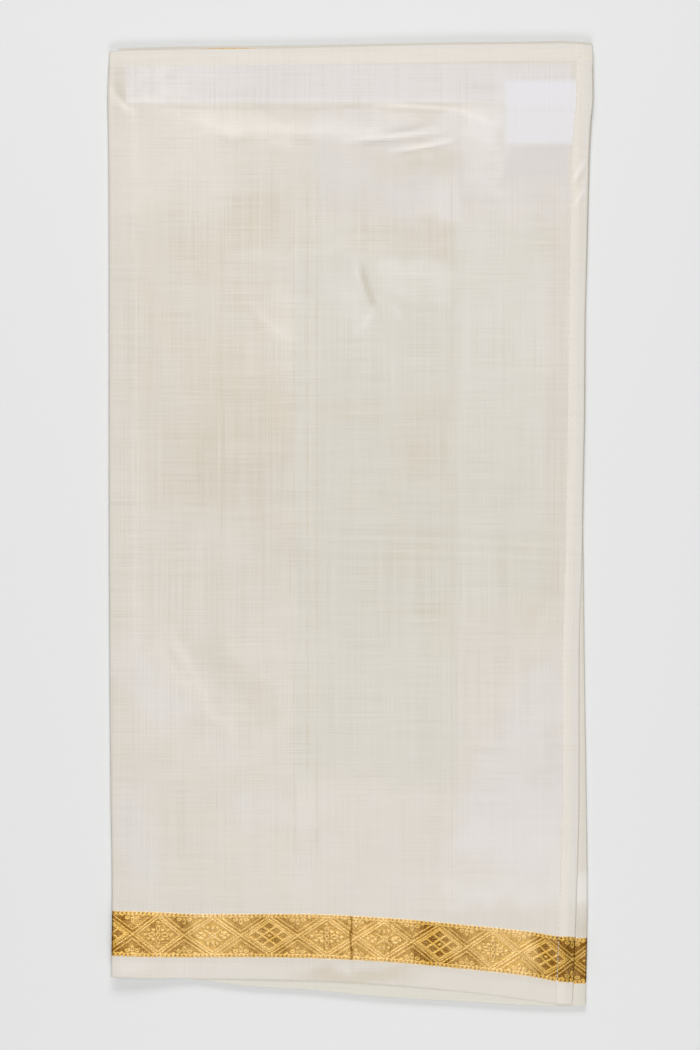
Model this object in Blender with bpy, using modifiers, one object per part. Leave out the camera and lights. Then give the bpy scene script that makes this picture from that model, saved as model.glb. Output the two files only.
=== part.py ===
"""A child's dhoti of sheer silk, folded in four layers and laid flat.

Seen from above, +Y runs up to the waist hem and +X to the stitched end of the cloth.
The front panel comes from its stitched end on the right, turns round a fold on the left and
goes back under itself. The second layer turns round a fold on the right, the third round a
fold on the left. Those hidden layers are one solid with grooves round its edges.
Sizes in the tables and names are in millimetres.
"""
import math
from collections import namedtuple

import bmesh
import bpy

MM = 0.001

# Cloth and the room between its layers
CLOTH = 1.0
GAP = 0.3
SEAM = 0.3
PITCH = CLOTH + GAP
HEM_EXTRA = 0.2      # how much a turned hem or the gold band thickens the cloth on each face
ZARI_EXTRA = 0.1

# Heights above the surface that the cloth lies on
THIRD_FLOOR = PITCH
THIRD_TOP = THIRD_FLOOR + CLOTH
SECOND_FLOOR = 2 * PITCH
STACK_TOP = SECOND_FLOOR + CLOTH
PANEL_FLOOR = STACK_TOP + GAP

# The stitched end's hem, and how far the panel goes back under itself at the left fold
END_HEM = 10.5
FLAP = 5.4
FLAP_ROOM = FLAP + 2 * GAP

# The tape and the label that lie under the front panel
TAPE_LEFT, TAPE_RIGHT = -147.0, 146.0
TAPE_LOW, TAPE_HIGH = 276.9, 302.3
TAPE_THICK = 1.2
LABEL_LEFT, LABEL_RIGHT = 101.6, 148.0
LABEL_LOW, LABEL_HIGH = 251.5, 291.7
LABEL_THICK = 1.0
CLEAR = 3.6          # the panel lies level this far past what is under it
RAMP = 6.5           # and comes down over this much more

# The lifted lower corner at the left fold
LIFT = 3.2
LIFT_REACH = 52.0
LIFT_LENGTHEN = 0.8  # the lift reaches further up the fold than along the edge

# How finely the walls are drawn
COLUMN_STEP = 14.0
ROW_STEP = 15.5
FINE_STEP = 3.2
FOLD_STEPS = 5
LEVELS_FROM, LEVELS_TO = -248.0, 299.0
LAST_COLUMN = 131.6
STACK_COLUMNS, STACK_ROWS = 20, 16

Side = namedtuple("Side", "y left right under_right")
Edge = namedtuple("Edge", "x low zari_low zari_high waist_low top under_low")
Ridge = namedtuple("Ridge", "x0 y0 x1 y1 height spread")
Layer = namedtuple("Layer", "floor back")
Level = namedtuple("Level", "z left right low high")

# The left fold, the free stitched end and the fold under it, from the waist down
SIDES = [
    Side(317.0, -158.0, 159.2, 155.8),
    Side(280.0, -159.8, 160.2, 155.6),
    Side(240.0, -160.2, 157.1, 155.0),
    Side(181.0, -159.9, 155.8, 154.4),
    Side(82.0, -159.9, 155.1, 153.6),
    Side(29.0, -159.9, 153.8, 153.2),
    Side(-24.0, -159.8, 152.9, 153.8),
    Side(-83.0, -159.6, 151.1, 154.4),
    Side(-182.0, -158.6, 150.7, 155.8),
    Side(-248.0, -157.6, 148.5, 156.5),
    Side(-317.0, -157.8, 146.4, 155.2),
]

# The edges and seams that cross the cloth, from the left fold to the free end
EDGES = [
    Edge(-160.0, -297.0, -283.6, -254.7, 301.0, 312.6, -296.0),
    Edge(-132.0, -298.8, -285.1, -256.0, 301.2, 313.6, -297.0),
    Edge(-99.0, -299.3, -285.8, -257.3, 301.6, 314.3, -300.2),
    Edge(-66.0, -299.7, -285.9, -257.4, 302.3, 314.5, -304.4),
    Edge(-33.0, -300.3, -286.0, -257.4, 302.9, 314.9, -306.2),
    Edge(20.0, -302.9, -288.4, -259.4, 304.2, 316.1, -311.2),
    Edge(72.0, -307.6, -293.0, -264.0, 304.8, 316.9, -314.3),
    Edge(119.0, -313.5, -298.3, -268.7, 304.9, 317.2, -317.0),
    Edge(139.0, -316.1, -301.6, -271.9, 304.9, 317.5, -317.5),
    Edge(160.0, -316.8, -302.6, -273.2, 304.7, 316.9, -317.3),
]

# Soft folds in the front panel: from, to, height and half-width
FADE = 13.0
RIDGES = [
    Ridge(-126.0, 270.0, -26.0, 256.0, 2.0, 10.0),
    Ridge(20.0, 256.0, 66.0, 268.0, 1.2, 8.0),
    Ridge(14.0, 150.0, 50.0, 168.0, 1.6, 13.0),
    Ridge(-70.0, 150.0, -40.0, 124.0, 1.2, 12.0),
    Ridge(-33.0, 121.0, 13.0, 128.0, 1.0, 12.0),
    Ridge(-120.0, -66.0, -92.0, -110.0, 1.3, 12.0),
    Ridge(-150.0, 24.0, 140.0, 18.0, 0.6, 16.0),
    Ridge(-40.0, -150.0, 90.0, -190.0, 0.7, 22.0),
]

# The hidden layers, from the surface up, with how far each one's cut edges stand back
LAYERS = [
    Layer(0.0, 3.4),
    Layer(THIRD_FLOOR, 1.6),
    Layer(SECOND_FLOOR, 0.0),
]
CUT_ROUND = 0.28     # a cut edge stands in this much at its upper and lower faces
GROOVE = 2.6         # the room between two layers goes in this far
TOP_BACK = 1.0       # the upper edges stand back under the waist hem
THIRD_FOLD_BACK = 0.4
FOURTH_END_BACK = 5.0


def clear_scene():
    for thing in list(bpy.data.objects):
        bpy.data.objects.remove(thing, do_unlink=True)


def read(rows, along, column, at):
    """Value of one column of a table at a place between its rows, on a smooth curve."""
    rows = sorted(rows, key=lambda row: getattr(row, along))
    places = [getattr(row, along) for row in rows]
    values = [getattr(row, column) for row in rows]
    slopes = [(values[i + 1] - values[i]) / (places[i + 1] - places[i]) for i in range(len(rows) - 1)]
    tangents = [slopes[0]]
    for before, after in zip(slopes, slopes[1:]):
        level = before * after <= 0.0
        tangents.append(0.0 if level else 2.0 * before * after / (before + after))
    tangents.append(slopes[-1])
    at = min(max(at, places[0]), places[-1])
    i = max(k for k in range(len(slopes)) if places[k] <= at)
    span = places[i + 1] - places[i]
    t = (at - places[i]) / span
    return (values[i] * (1 + 2 * t) * (1 - t) ** 2 + values[i + 1] * t * t * (3 - 2 * t)
            + span * tangents[i] * t * (1 - t) ** 2 - span * tangents[i + 1] * t * t * (1 - t))


def side(column):
    return lambda y: read(SIDES, "y", column, y)


def edge(column, shift=0.0):
    return lambda x: read(EDGES, "x", column, x) + shift


def level_line(y):
    return lambda x: y


def smooth(t):
    t = min(max(t, 0.0), 1.0)
    return t * t * (3 - 2 * t)


def plateau(distance):
    """1 within CLEAR of a thing's edge, falling to 0 over RAMP; distance is negative inside."""
    return 1.0 - smooth((distance - CLEAR) / RAMP)


def tape_rise(x, y):
    outside = max(TAPE_LEFT - x, TAPE_LOW - y)
    return (TAPE_THICK + GAP) * plateau(outside)


def label_rise(x, y):
    outside = max(LABEL_LEFT - x, LABEL_LOW - y, y - LABEL_HIGH)
    return (LABEL_THICK + GAP) * plateau(outside)


def corner_lift(x, y):
    """The lower left corner stands a little off the layers under it."""
    corner_x, corner_y = SIDES[-1].left, EDGES[0].low
    away = math.hypot(x - corner_x, (y - corner_y) * LIFT_LENGTHEN)
    return LIFT * (1.0 - smooth(away / LIFT_REACH))


def folds(x, y):
    """Height of the soft folds, which die out towards the left fold and the free end."""
    total = 0.0
    for ridge in RIDGES:
        run_x, run_y = ridge.x1 - ridge.x0, ridge.y1 - ridge.y0
        t = ((x - ridge.x0) * run_x + (y - ridge.y0) * run_y) / (run_x ** 2 + run_y ** 2)
        t = min(max(t, 0.0), 1.0)
        away = math.hypot(x - ridge.x0 - t * run_x, y - ridge.y0 - t * run_y)
        total += ridge.height * math.exp(-((away / ridge.spread) ** 2))
    fold_x = read(SIDES, "y", "left", y)
    end_x = read(SIDES, "y", "right", y)
    return total * smooth((x - fold_x - FLAP) / FADE) * smooth((end_x - x) / FADE)


def label_floor(x, y):
    return PANEL_FLOOR + tape_rise(x, y)


def panel_floor(x, y):
    """Underside of the front panel."""
    return label_floor(x, y) + label_rise(x, y) + folds(x, y) + corner_lift(x, y)


def cross(column, row):
    """Where a column of the cloth, x by y, meets a row, y by x."""
    x = y = 0.0
    for _ in range(4):
        y = row(x)
        x = column(y)
    return x, y


def stations(first, last, step):
    """Evenly spaced places from first to last, both counted."""
    count = max(1, round(abs(last - first) / step))
    return [first + (last - first) * i / count for i in range(count + 1)]


def material(name, colour, roughness, metallic=0.0):
    shade = bpy.data.materials.new(name)
    shade.use_nodes = True
    shader = shade.node_tree.nodes["Principled BSDF"]
    shader.inputs["Base Color"].default_value = (*colour, 1.0)
    shader.inputs["Roughness"].default_value = roughness
    shader.inputs["Metallic"].default_value = metallic
    return shade


def finish(bm, name, shade, collection, thickness=None):
    """Make the mesh an object, and give an open sheet its thickness."""
    mesh = bpy.data.meshes.new(name)
    bm.to_mesh(mesh)
    bm.free()
    mesh.materials.append(shade)
    piece = bpy.data.objects.new(name, mesh)
    collection.objects.link(piece)
    if thickness:
        wall = piece.modifiers.new("wall", "SOLIDIFY")
        wall.thickness = thickness * MM
        wall.offset = -1.0
        wall.use_even_offset = True
    mesh.shade_smooth()
    mesh.set_sharp_from_angle(angle=math.radians(40))
    return piece


def sheet(name, columns, rows, floor, thickness, shade, collection):
    """A wall of cloth over its underside, with columns and rows that follow the cloth's edges.

    A column is its x by y, with how far it has gone round the left fold: 0 on the panel,
    1 where it has come back under it.
    """
    bm = bmesh.new()
    grid = []
    for row in rows:
        line = []
        for column, turned in columns:
            x, y = cross(column, row)
            z = floor(x, y) - GAP * turned
            line.append(bm.verts.new((x * MM, y * MM, z * MM)))
        grid.append(line)
    for low, high in zip(grid, grid[1:]):
        for i in range(len(low) - 1):
            bm.faces.new((low[i], high[i], high[i + 1], low[i + 1]))
    return finish(bm, name, shade, collection, thickness)


def left_fold():
    """Columns from the end of the flap, round the fold, to the start of the panel."""
    left = side("left")
    nose = CLOTH + GAP / 2
    columns = [(lambda y: left(y) + FLAP, 1.0)]
    for i in range(FOLD_STEPS + 1):
        turn = math.pi * i / FOLD_STEPS
        reach = nose - GAP / 2 * math.sin(turn)
        columns.append((lambda y, reach=reach: left(y) + reach, (1 + math.cos(turn)) / 2))
    return columns


def across():
    """Columns of the front panel between the left fold and the end hem."""
    places = stations(TAPE_LEFT - CLEAR - RAMP / 2, TAPE_LEFT, FINE_STEP)
    places += stations(TAPE_LEFT, LABEL_LEFT - CLEAR - RAMP, COLUMN_STEP)[1:]
    places += stations(LABEL_LEFT - CLEAR - RAMP, LABEL_LEFT, FINE_STEP)[1:]
    places += stations(LABEL_LEFT, LAST_COLUMN, COLUMN_STEP)[1:]
    return [(lambda y, x=x: x, 0.0) for x in places]


def hem_start(shift):
    right = side("right")
    return (lambda y: right(y) - END_HEM + shift, 0.0)


def free_end(shift=0.0):
    right = side("right")
    return (lambda y: right(y) + shift, 0.0)


def field_levels():
    """Rows that cross the field straight, close together round the tape and the label."""
    low_side = stations(LEVELS_FROM, LABEL_LOW - CLEAR - RAMP, ROW_STEP)
    top_side = stations(LABEL_LOW - CLEAR - RAMP, LEVELS_TO, FINE_STEP)
    return [level_line(y) for y in low_side + top_side[1:]]


def halfway(first, second):
    return lambda x: (read(EDGES, "x", first, x) + read(EDGES, "x", second, x)) / 2


def front_piece(name, columns, rows, extra, shade, collection):
    """One piece of the front panel, which stands as far above the layers as it is thicker."""
    sheet(name, columns, rows, lambda x, y: panel_floor(x, y) + extra, CLOTH + extra, shade, collection)


def build_front(collection, silk, hem_silk, gold):
    hem_middle, end = free_end(-END_HEM / 2), free_end()
    whole_width = left_fold() + across() + [hem_start(0.0), hem_middle, end]
    field_width = left_fold() + across() + [hem_start(-SEAM / 2)]
    hem_width = [hem_start(SEAM / 2), hem_middle, end]
    field_rows = [edge("zari_high", SEAM / 2)] + field_levels() + [edge("waist_low", -SEAM / 2)]
    waist_rows = [edge("waist_low", SEAM / 2), halfway("waist_low", "top"), edge("top")]
    border_rows = [edge("zari_low", SEAM / 2), halfway("zari_low", "zari_high"),
                   edge("zari_high", -SEAM / 2)]
    selvedge_rows = [edge("low"), edge("zari_low", -SEAM / 2)]

    front_piece("front_field", field_width, field_rows, 0.0, silk, collection)
    front_piece("end_hem", hem_width, field_rows, HEM_EXTRA, hem_silk, collection)
    front_piece("waist_hem", whole_width, waist_rows, HEM_EXTRA, hem_silk, collection)
    front_piece("zari_border", whole_width, border_rows, ZARI_EXTRA, gold, collection)
    front_piece("selvedge", whole_width, selvedge_rows, 0.0, silk, collection)


def build_tape(collection, shade):
    columns = [(lambda y, x=x: x, 0.0) for x in stations(TAPE_LEFT, TAPE_RIGHT, 2 * COLUMN_STEP)]
    rows = [level_line(y) for y in (TAPE_LOW, TAPE_HIGH)]
    sheet("waist_tape", columns, rows, lambda x, y: PANEL_FLOOR, TAPE_THICK, shade, collection)


def build_label(collection, shade):
    columns = [(lambda y, x=x: x, 0.0) for x in stations(LABEL_LEFT, LABEL_RIGHT, COLUMN_STEP)]
    rows = [level_line(y) for y in stations(LABEL_LOW, LABEL_HIGH, FINE_STEP)]
    sheet("label", columns, rows, label_floor, LABEL_THICK, shade, collection)


def nose(z, low, high):
    """How far a round fold stands in at height z between its two faces."""
    radius = (high - low) / 2
    off = min(abs(z - (low + high) / 2), radius)
    return radius - math.sqrt(radius ** 2 - off ** 2)


def stack_sides(z, cut):
    """Insets of the left and right sides at one height.

    On the left the third and fourth layers are one round fold, and the second stops short of
    the panel's flap. On the right the second and third are one round fold.
    """
    left = FLAP_ROOM if z > THIRD_TOP else THIRD_FOLD_BACK + nose(z, 0.0, THIRD_TOP)
    right = FOURTH_END_BACK if z < THIRD_FLOOR else nose(z, THIRD_FLOOR, STACK_TOP)
    return Level(z, left, right, cut, cut + TOP_BACK)


def stack_levels():
    """Heights and insets of the hidden layers, with a groove between each two cut edges."""
    levels = []
    for layer in LAYERS:
        top = layer.floor + CLOTH
        levels.append(stack_sides(layer.floor, layer.back + CUT_ROUND))
        levels.append(stack_sides(layer.floor + CLOTH / 2, layer.back))
        levels.append(stack_sides(top, layer.back + CUT_ROUND))
        if layer.floor < SECOND_FLOOR:
            levels.append(stack_sides(top + GAP / 6, layer.back + GROOVE))
            levels.append(stack_sides(top + GAP * 5 / 6, layer.back + GROOVE))
    return levels


def stack_outline(level):
    """Points round the hidden layers at one height, starting at the lower left corner."""
    xs = stations(0.0, 1.0, 1.0 / STACK_COLUMNS)
    ys = stations(0.0, 1.0, 1.0 / STACK_ROWS)
    left, right = side("left"), side("under_right")
    low, top = edge("under_low"), edge("top")

    def point(s, t):
        x = y = 0.0
        for _ in range(4):
            start, end = left(y) + level.left, right(y) - level.right
            x = start + s * (end - start)
            bottom, head = low(x) + level.low, top(x) - level.high
            y = bottom + t * (head - bottom)
        return (x * MM, y * MM, level.z * MM)

    ring = [point(s, 0.0) for s in xs[:-1]]
    ring += [point(1.0, t) for t in ys[:-1]]
    ring += [point(s, 1.0) for s in reversed(xs[1:])]
    ring += [point(0.0, t) for t in reversed(ys[1:])]
    return ring


def build_inner_folds(collection, shade):
    bm = bmesh.new()
    loops = [[bm.verts.new(p) for p in stack_outline(level)] for level in stack_levels()]
    for lower, upper in zip(loops, loops[1:]):
        for i in range(len(lower)):
            j = (i + 1) % len(lower)
            bm.faces.new((lower[i], lower[j], upper[j], upper[i]))
    bm.faces.new(list(reversed(loops[0])))
    bm.faces.new(loops[-1])
    finish(bm, "inner_folds", shade, collection)


def main():
    clear_scene()
    collection = bpy.data.collections.new("folded_dhoti")
    bpy.context.scene.collection.children.link(collection)
    silk = material("sheer cream silk", (0.68, 0.62, 0.52), 0.45)
    hem_silk = material("turned cream silk", (0.74, 0.68, 0.57), 0.5)
    under_silk = material("folded cream silk", (0.72, 0.66, 0.54), 0.5)
    gold = material("gold zari", (0.66, 0.40, 0.12), 0.35, 0.8)
    tape = material("white fastening tape", (0.82, 0.80, 0.79), 0.8)
    paper = material("white satin label", (0.86, 0.86, 0.88), 0.5)
    build_inner_folds(collection, under_silk)
    build_tape(collection, tape)
    build_label(collection, paper)
    build_front(collection, silk, hem_silk, gold)


main()
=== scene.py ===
"""Looks of a child's silk dhoti, folded in four layers and laid flat on a pale surface.

The front panel, its hems, the gold band and the selvedge are thin shells that meet edge to edge
on one height field, in millimetres. The hidden layers are one long sheet folded to and fro.
x runs across the cloth, from the left fold to the free end, and y runs up it to the waist.
"""

import math
from collections import namedtuple

import bmesh
import bpy
import numpy as np
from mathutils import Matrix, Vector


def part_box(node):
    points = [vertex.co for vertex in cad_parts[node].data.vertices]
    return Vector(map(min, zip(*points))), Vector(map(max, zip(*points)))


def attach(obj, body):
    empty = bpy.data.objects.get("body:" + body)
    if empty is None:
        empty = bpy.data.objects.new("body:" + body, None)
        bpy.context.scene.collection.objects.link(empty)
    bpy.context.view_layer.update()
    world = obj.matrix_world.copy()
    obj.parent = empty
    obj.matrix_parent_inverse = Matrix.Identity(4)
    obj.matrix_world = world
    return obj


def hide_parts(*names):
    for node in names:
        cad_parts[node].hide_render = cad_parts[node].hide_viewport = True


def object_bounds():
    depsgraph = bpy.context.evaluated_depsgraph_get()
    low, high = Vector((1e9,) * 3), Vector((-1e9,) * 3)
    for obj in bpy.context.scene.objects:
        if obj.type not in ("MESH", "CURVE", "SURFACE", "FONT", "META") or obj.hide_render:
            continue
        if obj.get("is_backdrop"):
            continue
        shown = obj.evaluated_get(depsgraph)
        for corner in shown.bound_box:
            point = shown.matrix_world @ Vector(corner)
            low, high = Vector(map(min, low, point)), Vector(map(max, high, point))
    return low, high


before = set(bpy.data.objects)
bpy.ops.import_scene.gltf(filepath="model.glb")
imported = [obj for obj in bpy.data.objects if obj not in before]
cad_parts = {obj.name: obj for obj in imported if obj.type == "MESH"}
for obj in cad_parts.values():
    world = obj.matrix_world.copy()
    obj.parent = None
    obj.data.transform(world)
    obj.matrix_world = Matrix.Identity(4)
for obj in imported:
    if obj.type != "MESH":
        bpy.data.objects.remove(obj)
cad_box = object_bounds()
bpy.ops.object.select_all(action="DESELECT")

MM = 0.001


def box_mm(node):
    """A node's lowest and highest corners in millimetres."""
    low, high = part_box(node)
    return [value / MM for value in low], [value / MM for value in high]


# ---- sizes, in millimetres -------------------------------------------------------------------

# Taken from the frame
TAPE_LOW, TAPE_HIGH = box_mm("waist_tape")
LABEL_LOW, LABEL_HIGH = box_mm("label")
STACK_TOP = box_mm("inner_folds")[1][2]

# Walls of the front panel and of the layers under it, and the panel's outer face over them,
# where it lies flat and where it is pressed down most
SILK, UNDER_SILK = 0.35, 0.5
PANEL_TOP, PANEL_LEAST = STACK_TOP + 1.15, STACK_TOP + 0.4

# The panel's round left fold, the flap behind it, how far in its second column lies, the steps
# round a fold, and over what distance from the fold the panel comes to lie loose
FOLD_RADIUS, FLAP, FLAP_SECOND = 1.0, 5.4, 3.24
FOLD_STEPS = 10
LOOSE_REACH = 9.0

# The hems: the end hem's depth, how far their doubled silk stands up, the share of that at the
# waist, how wide the step is at each seam, and the radius of their rolled edges
END_HEM = 11.5
HEM_STEP, WAIST_STEP_SHARE = 0.4, 0.5
END_STEP_WIDE, WAIST_STEP_WIDE = 0.9, 2.4
HEM_ROLL = 0.6

# How far the panel droops at its lower edge and at its free end, and how far in that reaches
LOW_DROOP, LOW_REACH = 0.55, 5.0
END_DROOP, END_REACH = 0.5, 7.0

# How the panel stands up over the tape and the label, how far beside them it does, and how long
# it takes to come down. Their rise goes on past the top edge, where a share of it is left.
TAPE_RISE, LABEL_RISE = 0.8, 0.6
CLEAR, RAMP = 1.6, 6.5
BEYOND_TOP = 40.0
TOP_SHARE, TOP_REACH = 0.45, 9.0

# The tape's and the label's walls, how deep the tape's face lies in its box, and the label's
# face over the stack and, further up, where it has climbed the tape
TAPE_WALL, TAPE_DEEP = 0.9, 0.1
LABEL_WALL, LABEL_OVER_STACK, LABEL_OVER_TAPE = 0.3, 0.65, 1.1

# The lifted lower corner at the left fold: its height, its reach, and how far a distance up the
# cloth counts, since it reaches further that way
LIFT, LIFT_REACH, LIFT_UPWARDS = 4.4, 56.0, 0.8

# Pieces that meet count as touching within this distance, and the crossing columns and rows of
# a strip are found in a few rounds
TOUCH = 0.1
ROUNDS = 4

# Faces that meet at less than this angle, in degrees, are shaded as one smooth surface
SMOOTH_ANGLE = 60

# Stitch length, the gap after it, how far its ends taper and dip, and the thread's radius, its
# sides, and by what share it narrows at its tips
STITCH, STITCH_GAP, STITCH_END, STITCH_DIP = 3.0, 0.6, 0.4, 0.16
THREAD_RADIUS, THREAD_SIDES, THREAD_NARROWS = 0.2, 6, 0.45

# Where the seams run: how far in from the hems' edges, from and to, and how far over the silk
SEAM_IN = 0.5
END_SEAM_FIRST, END_SEAM_LAST = 298.0, -297.0
WAIST_SEAM_FIRST, WAIST_SEAM_LAST = -154.0, 146.0
END_SEAM_ABOVE, WAIST_SEAM_ABOVE, KNOT_ABOVE = 0.02, -0.1, 0.12

# The overcast stitches that close the corner: the gap between them, the first one down the end
# hem and along the waist hem, each from and to, and how many there are
CORNER_GAP = 1.35
CORNER_DOWN, CORNER_DOWN_COUNT = ((149.8, 314.0), (151.6, 313.5)), 9
CORNER_ALONG, CORNER_ALONG_COUNT = ((152.6, 305.4), (152.1, 307.2)), 5

# The knot at the end of the seam, and its crossing threads, each from and to beside it
KNOT_Y = -301.0
KNOT = [
    (-1.2, -0.6, 1.1, 0.9),
    (-0.9, 1.0, 1.2, -0.7),
    (-1.3, 0.2, 1.3, 0.3),
    (0.1, -1.4, -0.2, 1.4),
]

# The hidden layers' heights at mid thickness, the second one's face just under the stack's top.
# How far the cut edges of the third and the fourth stand back, and how much and over what length
# those edges wander
JUST_UNDER = 0.05
SECOND_Z, THIRD_Z, FOURTH_Z = STACK_TOP - UNDER_SILK / 2 - JUST_UNDER, 1.85, UNDER_SILK / 2
THIRD_BACK, FOURTH_BACK = 1.8, 3.6
BACK_WANDER, BACK_WAVE = 0.35, 23.0

# How far in from the sides their left fold lies, and their upper end, past the panel's flap, and
# their lower end. The stretch by the right fold that shows, and the columns of each long run
LEFT_FOLD_IN, UPPER_END_IN, LOWER_END_IN = 0.4, 0.6, 5.0
SHOWN = 16.0
SECOND_COLUMNS, UNDER_COLUMNS = 52, 30

# How far their top edge shows past the panel's, and how much less on the right, from where and
# over what distance. The depths of their selvedge and gold band
TOP_SHOWS, TOP_LESS, TOP_LESS_FROM, TOP_LESS_OVER = 1.9, 0.4, -40.0, 90.0
UNDER_SELVEDGE, UNDER_BAND = 14.2, 31.0

# Where a gilt thread peeps out over the top edge, how deep it lies, how far it shows, how slowly
# that lessens towards its ends, and how thick it is
GLIMPSE_FIRST, GLIMPSE_LAST = -100.0, -60.0
GLIMPSE_DEEP, GLIMPSE_SHOWS, GLIMPSE_BLUNT, GLIMPSE_THICK = 2.0, 0.75, 0.6, 0.3
# The sliver's columns and rows, and the painted glare on it
GLIMPSE_COLUMNS, GLIMPSE_ROWS, GLIMPSE_SHINE = 48, 5, 0.6

# Columns of the field: by the left fold, then runs to a place at a step, closer together at the
# ends of the tape and of the label. Its rows are closer together under the waist.
FIELD_FIRST, FIELD_LAST = -158.9, 142.6
FOLD_COLUMNS = [FIELD_FIRST, -157.5, -156.0, -154.5, -153.0, -151.5, -150.3]
FIELD_RUNS = [(-144.0, 0.9), (97.0, 2.05), (105.0, 1.0), (FIELD_LAST, 2.1)]
ROWS_FIRST, ROWS_LAST = -256.0, 302.0
ROW_RUNS = [(236.0, 2.5), (ROWS_LAST, 1.15)]

# Columns across the whole panel: from, to, and the steps in silk, in gold and under the panel
WIDTH_FIRST, WIDTH_LAST = -158.6, 150.0
SILK_STEP, BAND_STEP, UNDER_STEP = 2.5, 0.47, 2.0

# Columns of the end hem and rows of the other strips, as shares, closer together at rolled and
# stitched edges. The gold band has finer columns up to the hem's roll.
HEM_SHARES = np.array([0.0, 0.04, 0.09, 0.2, 0.35, 0.5, 0.65, 0.8, 0.9,
                       0.945, 0.965, 0.98, 0.99, 0.997, 1.0])
HEM_ROLL_FIRST = 9
BAND_HEM_SHARES = np.concatenate([np.linspace(0.0, 0.9, 23), HEM_SHARES[HEM_ROLL_FIRST:]])
WAIST_ROWS = np.array([0.0, 0.04, 0.09, 0.2, 0.35, 0.5, 0.65, 0.8, 0.9,
                       0.95, 0.97, 0.985, 0.995, 1.0])
BAND_ROWS = np.linspace(0.0, 1.0, 61)
SELVEDGE_ROWS = np.array([0.0, 0.06, 0.15, 0.3, 0.5, 0.7, 0.85, 1.0])
UNDER_ROWS = np.concatenate([np.linspace(0.0, 0.99, 90), [0.997, 1.0]])
UNDER_SELVEDGE_ROWS = np.array([0.0, 0.02, 0.06, 0.15, 0.3, 0.5, 0.7, 0.85, 1.0])
TAPE_GRID, LABEL_GRID = (61, 9), (25, 41)

# The gold band: its figure is a row of lozenges with double outlines, each filled in turn, and
# its edges are toothed, with a line inside the teeth. Its floats stand a little proud on the
# outer face, from a share of the left fold's radius on.
BAND_HEIGHT = 29.2
BAND_RELIEF, RELIEF_FROM = 0.16, 0.9
LOZENGE_WIDE, LOZENGE_TALL = 36.3, 25.4
CROSSINGS = [-180.0, -142.9, -109.4, -72.0, -34.5, 3.9, 41.0, 77.0, 111.5, 146.4, 182.0]
FILLINGS = ["grid", "flower", "star", "grid", "flower", "star", "grid", "flower", "grid", "star"]
TOOTH, TOOTH_TALL, TOOTH_BAR = 2.7, 2.3, 0.8
TOOTH_LINE_IN, TOOTH_LINE = 0.1, 0.45

# The lozenges' outlines, each at a distance out from the middle one and its width. Fillings lie
# further in than the first distance, the corners between the lozenges further out than the last.
OUTLINES = [(0.0, 0.85), (-1.6, 0.75), (2.3, 0.6)]
FILLING_IN, CORNER_OUT = -2.3, 2.9

# How soft the outlines of the figure's lines, spots and teeth are
LINE_SOFT, SPOT_SOFT, TOOTH_SOFT = 0.25, 0.3, 0.35

# The grid filling: lozenges across, half the width and the softness of the lines between them,
# and the reach of the light heart of each, as shares of one lozenge
GRID_ACROSS, GRID_LINE, GRID_SOFT, GRID_HEART = 2.03, 0.07, 0.09, 0.16

# Bare silk at the toothed edges: how deep at least, how much deeper here and there, how much
# deeper again between the teeth, and the share of it on them. Its depth swings fast and slowly.
RAGGED, RAGGED_MORE, GAP_DEEPER, TOOTH_SHARE = 0.25, 0.3, 0.45, 0.5
FAST_SWING, SLOW_SWING = 2.3, 0.71

# How much painted shade darkens the gold's floats at its marks, how far their painted shine
# wavers, and over what distances across and up
SHADE_DARKENS_FLOATS, SHINE_WAVER, WAVER_ACROSS, WAVER_UP = 0.85, 0.12, 2.9, 4.0

# Where painted shade darkens the gold: at a crease near the middle, its reach, how far it sways
# and widens, and over what distance up the band each goes, at a fold line further on, and at the
# free end
GOLD_CREASE_X, GOLD_CREASE_REACH, GOLD_CREASE_SWAY, GOLD_CREASE_WIDENS = 0.7, 0.85, 0.4, 0.35
SWAY_UP, WIDENS_UP = 3.0, 2.1
LINE_X, LINE_REACH, LINE_SHADE = 26.4, 0.5, 0.4
END_SHADE, END_SHADE_REACH = 0.6, 1.0

Side = namedtuple("Side", "y left right under_right")
Edge = namedtuple("Edge", "x low zari_low zari_high waist_low top under_low")
Crease = namedtuple("Crease", "x0 y0 x1 y1 bow height above below tone")
Wave = namedtuple("Wave", "across up start share")
Patch = namedtuple("Patch", "x y wide tall turn soft_x soft_y tone warm cast", defaults=[0.0])
Area = namedtuple("Area", "low high soft")
Rim = namedtuple("Rim", "strength reach")
Allowance = namedtuple("Allowance", "deep start end")
Bar = namedtuple("Bar", "x reach low high strength")
Thread = namedtuple("Thread", "gap run weight shift")
Glint = namedtuple("Glint", "x shine")
Tint = namedtuple("Tint", "painted full strength colour")
Noise = namedtuple("Noise", "wide tall detail shift", defaults=[2.0, 0.0])
Spot = namedtuple("Spot", "x y wide tall light")
Softbox = namedtuple("Softbox", "name place size power")

# The left fold, the free stitched end and the fold under it, from the waist down
SIDES = [
    Side(317.0, -158.0, 159.8, 159.2),
    Side(280.0, -159.6, 160.0, 160.1),
    Side(262.0, -159.3, 158.2, 159.1),
    Side(240.0, -159.0, 157.3, 158.0),
    Side(181.0, -158.7, 156.1, 156.4),
    Side(127.0, -158.7, 154.9, 154.8),
    Side(82.0, -158.7, 154.7, 154.2),
    Side(29.0, -158.7, 153.8, 153.2),
    Side(-24.0, -158.6, 152.9, 153.8),
    Side(-83.0, -158.3, 151.1, 154.4),
    Side(-182.0, -157.5, 150.9, 155.8),
    Side(-248.0, -156.6, 149.2, 156.5),
    Side(-317.0, -156.9, 146.6, 155.4),
]

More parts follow.
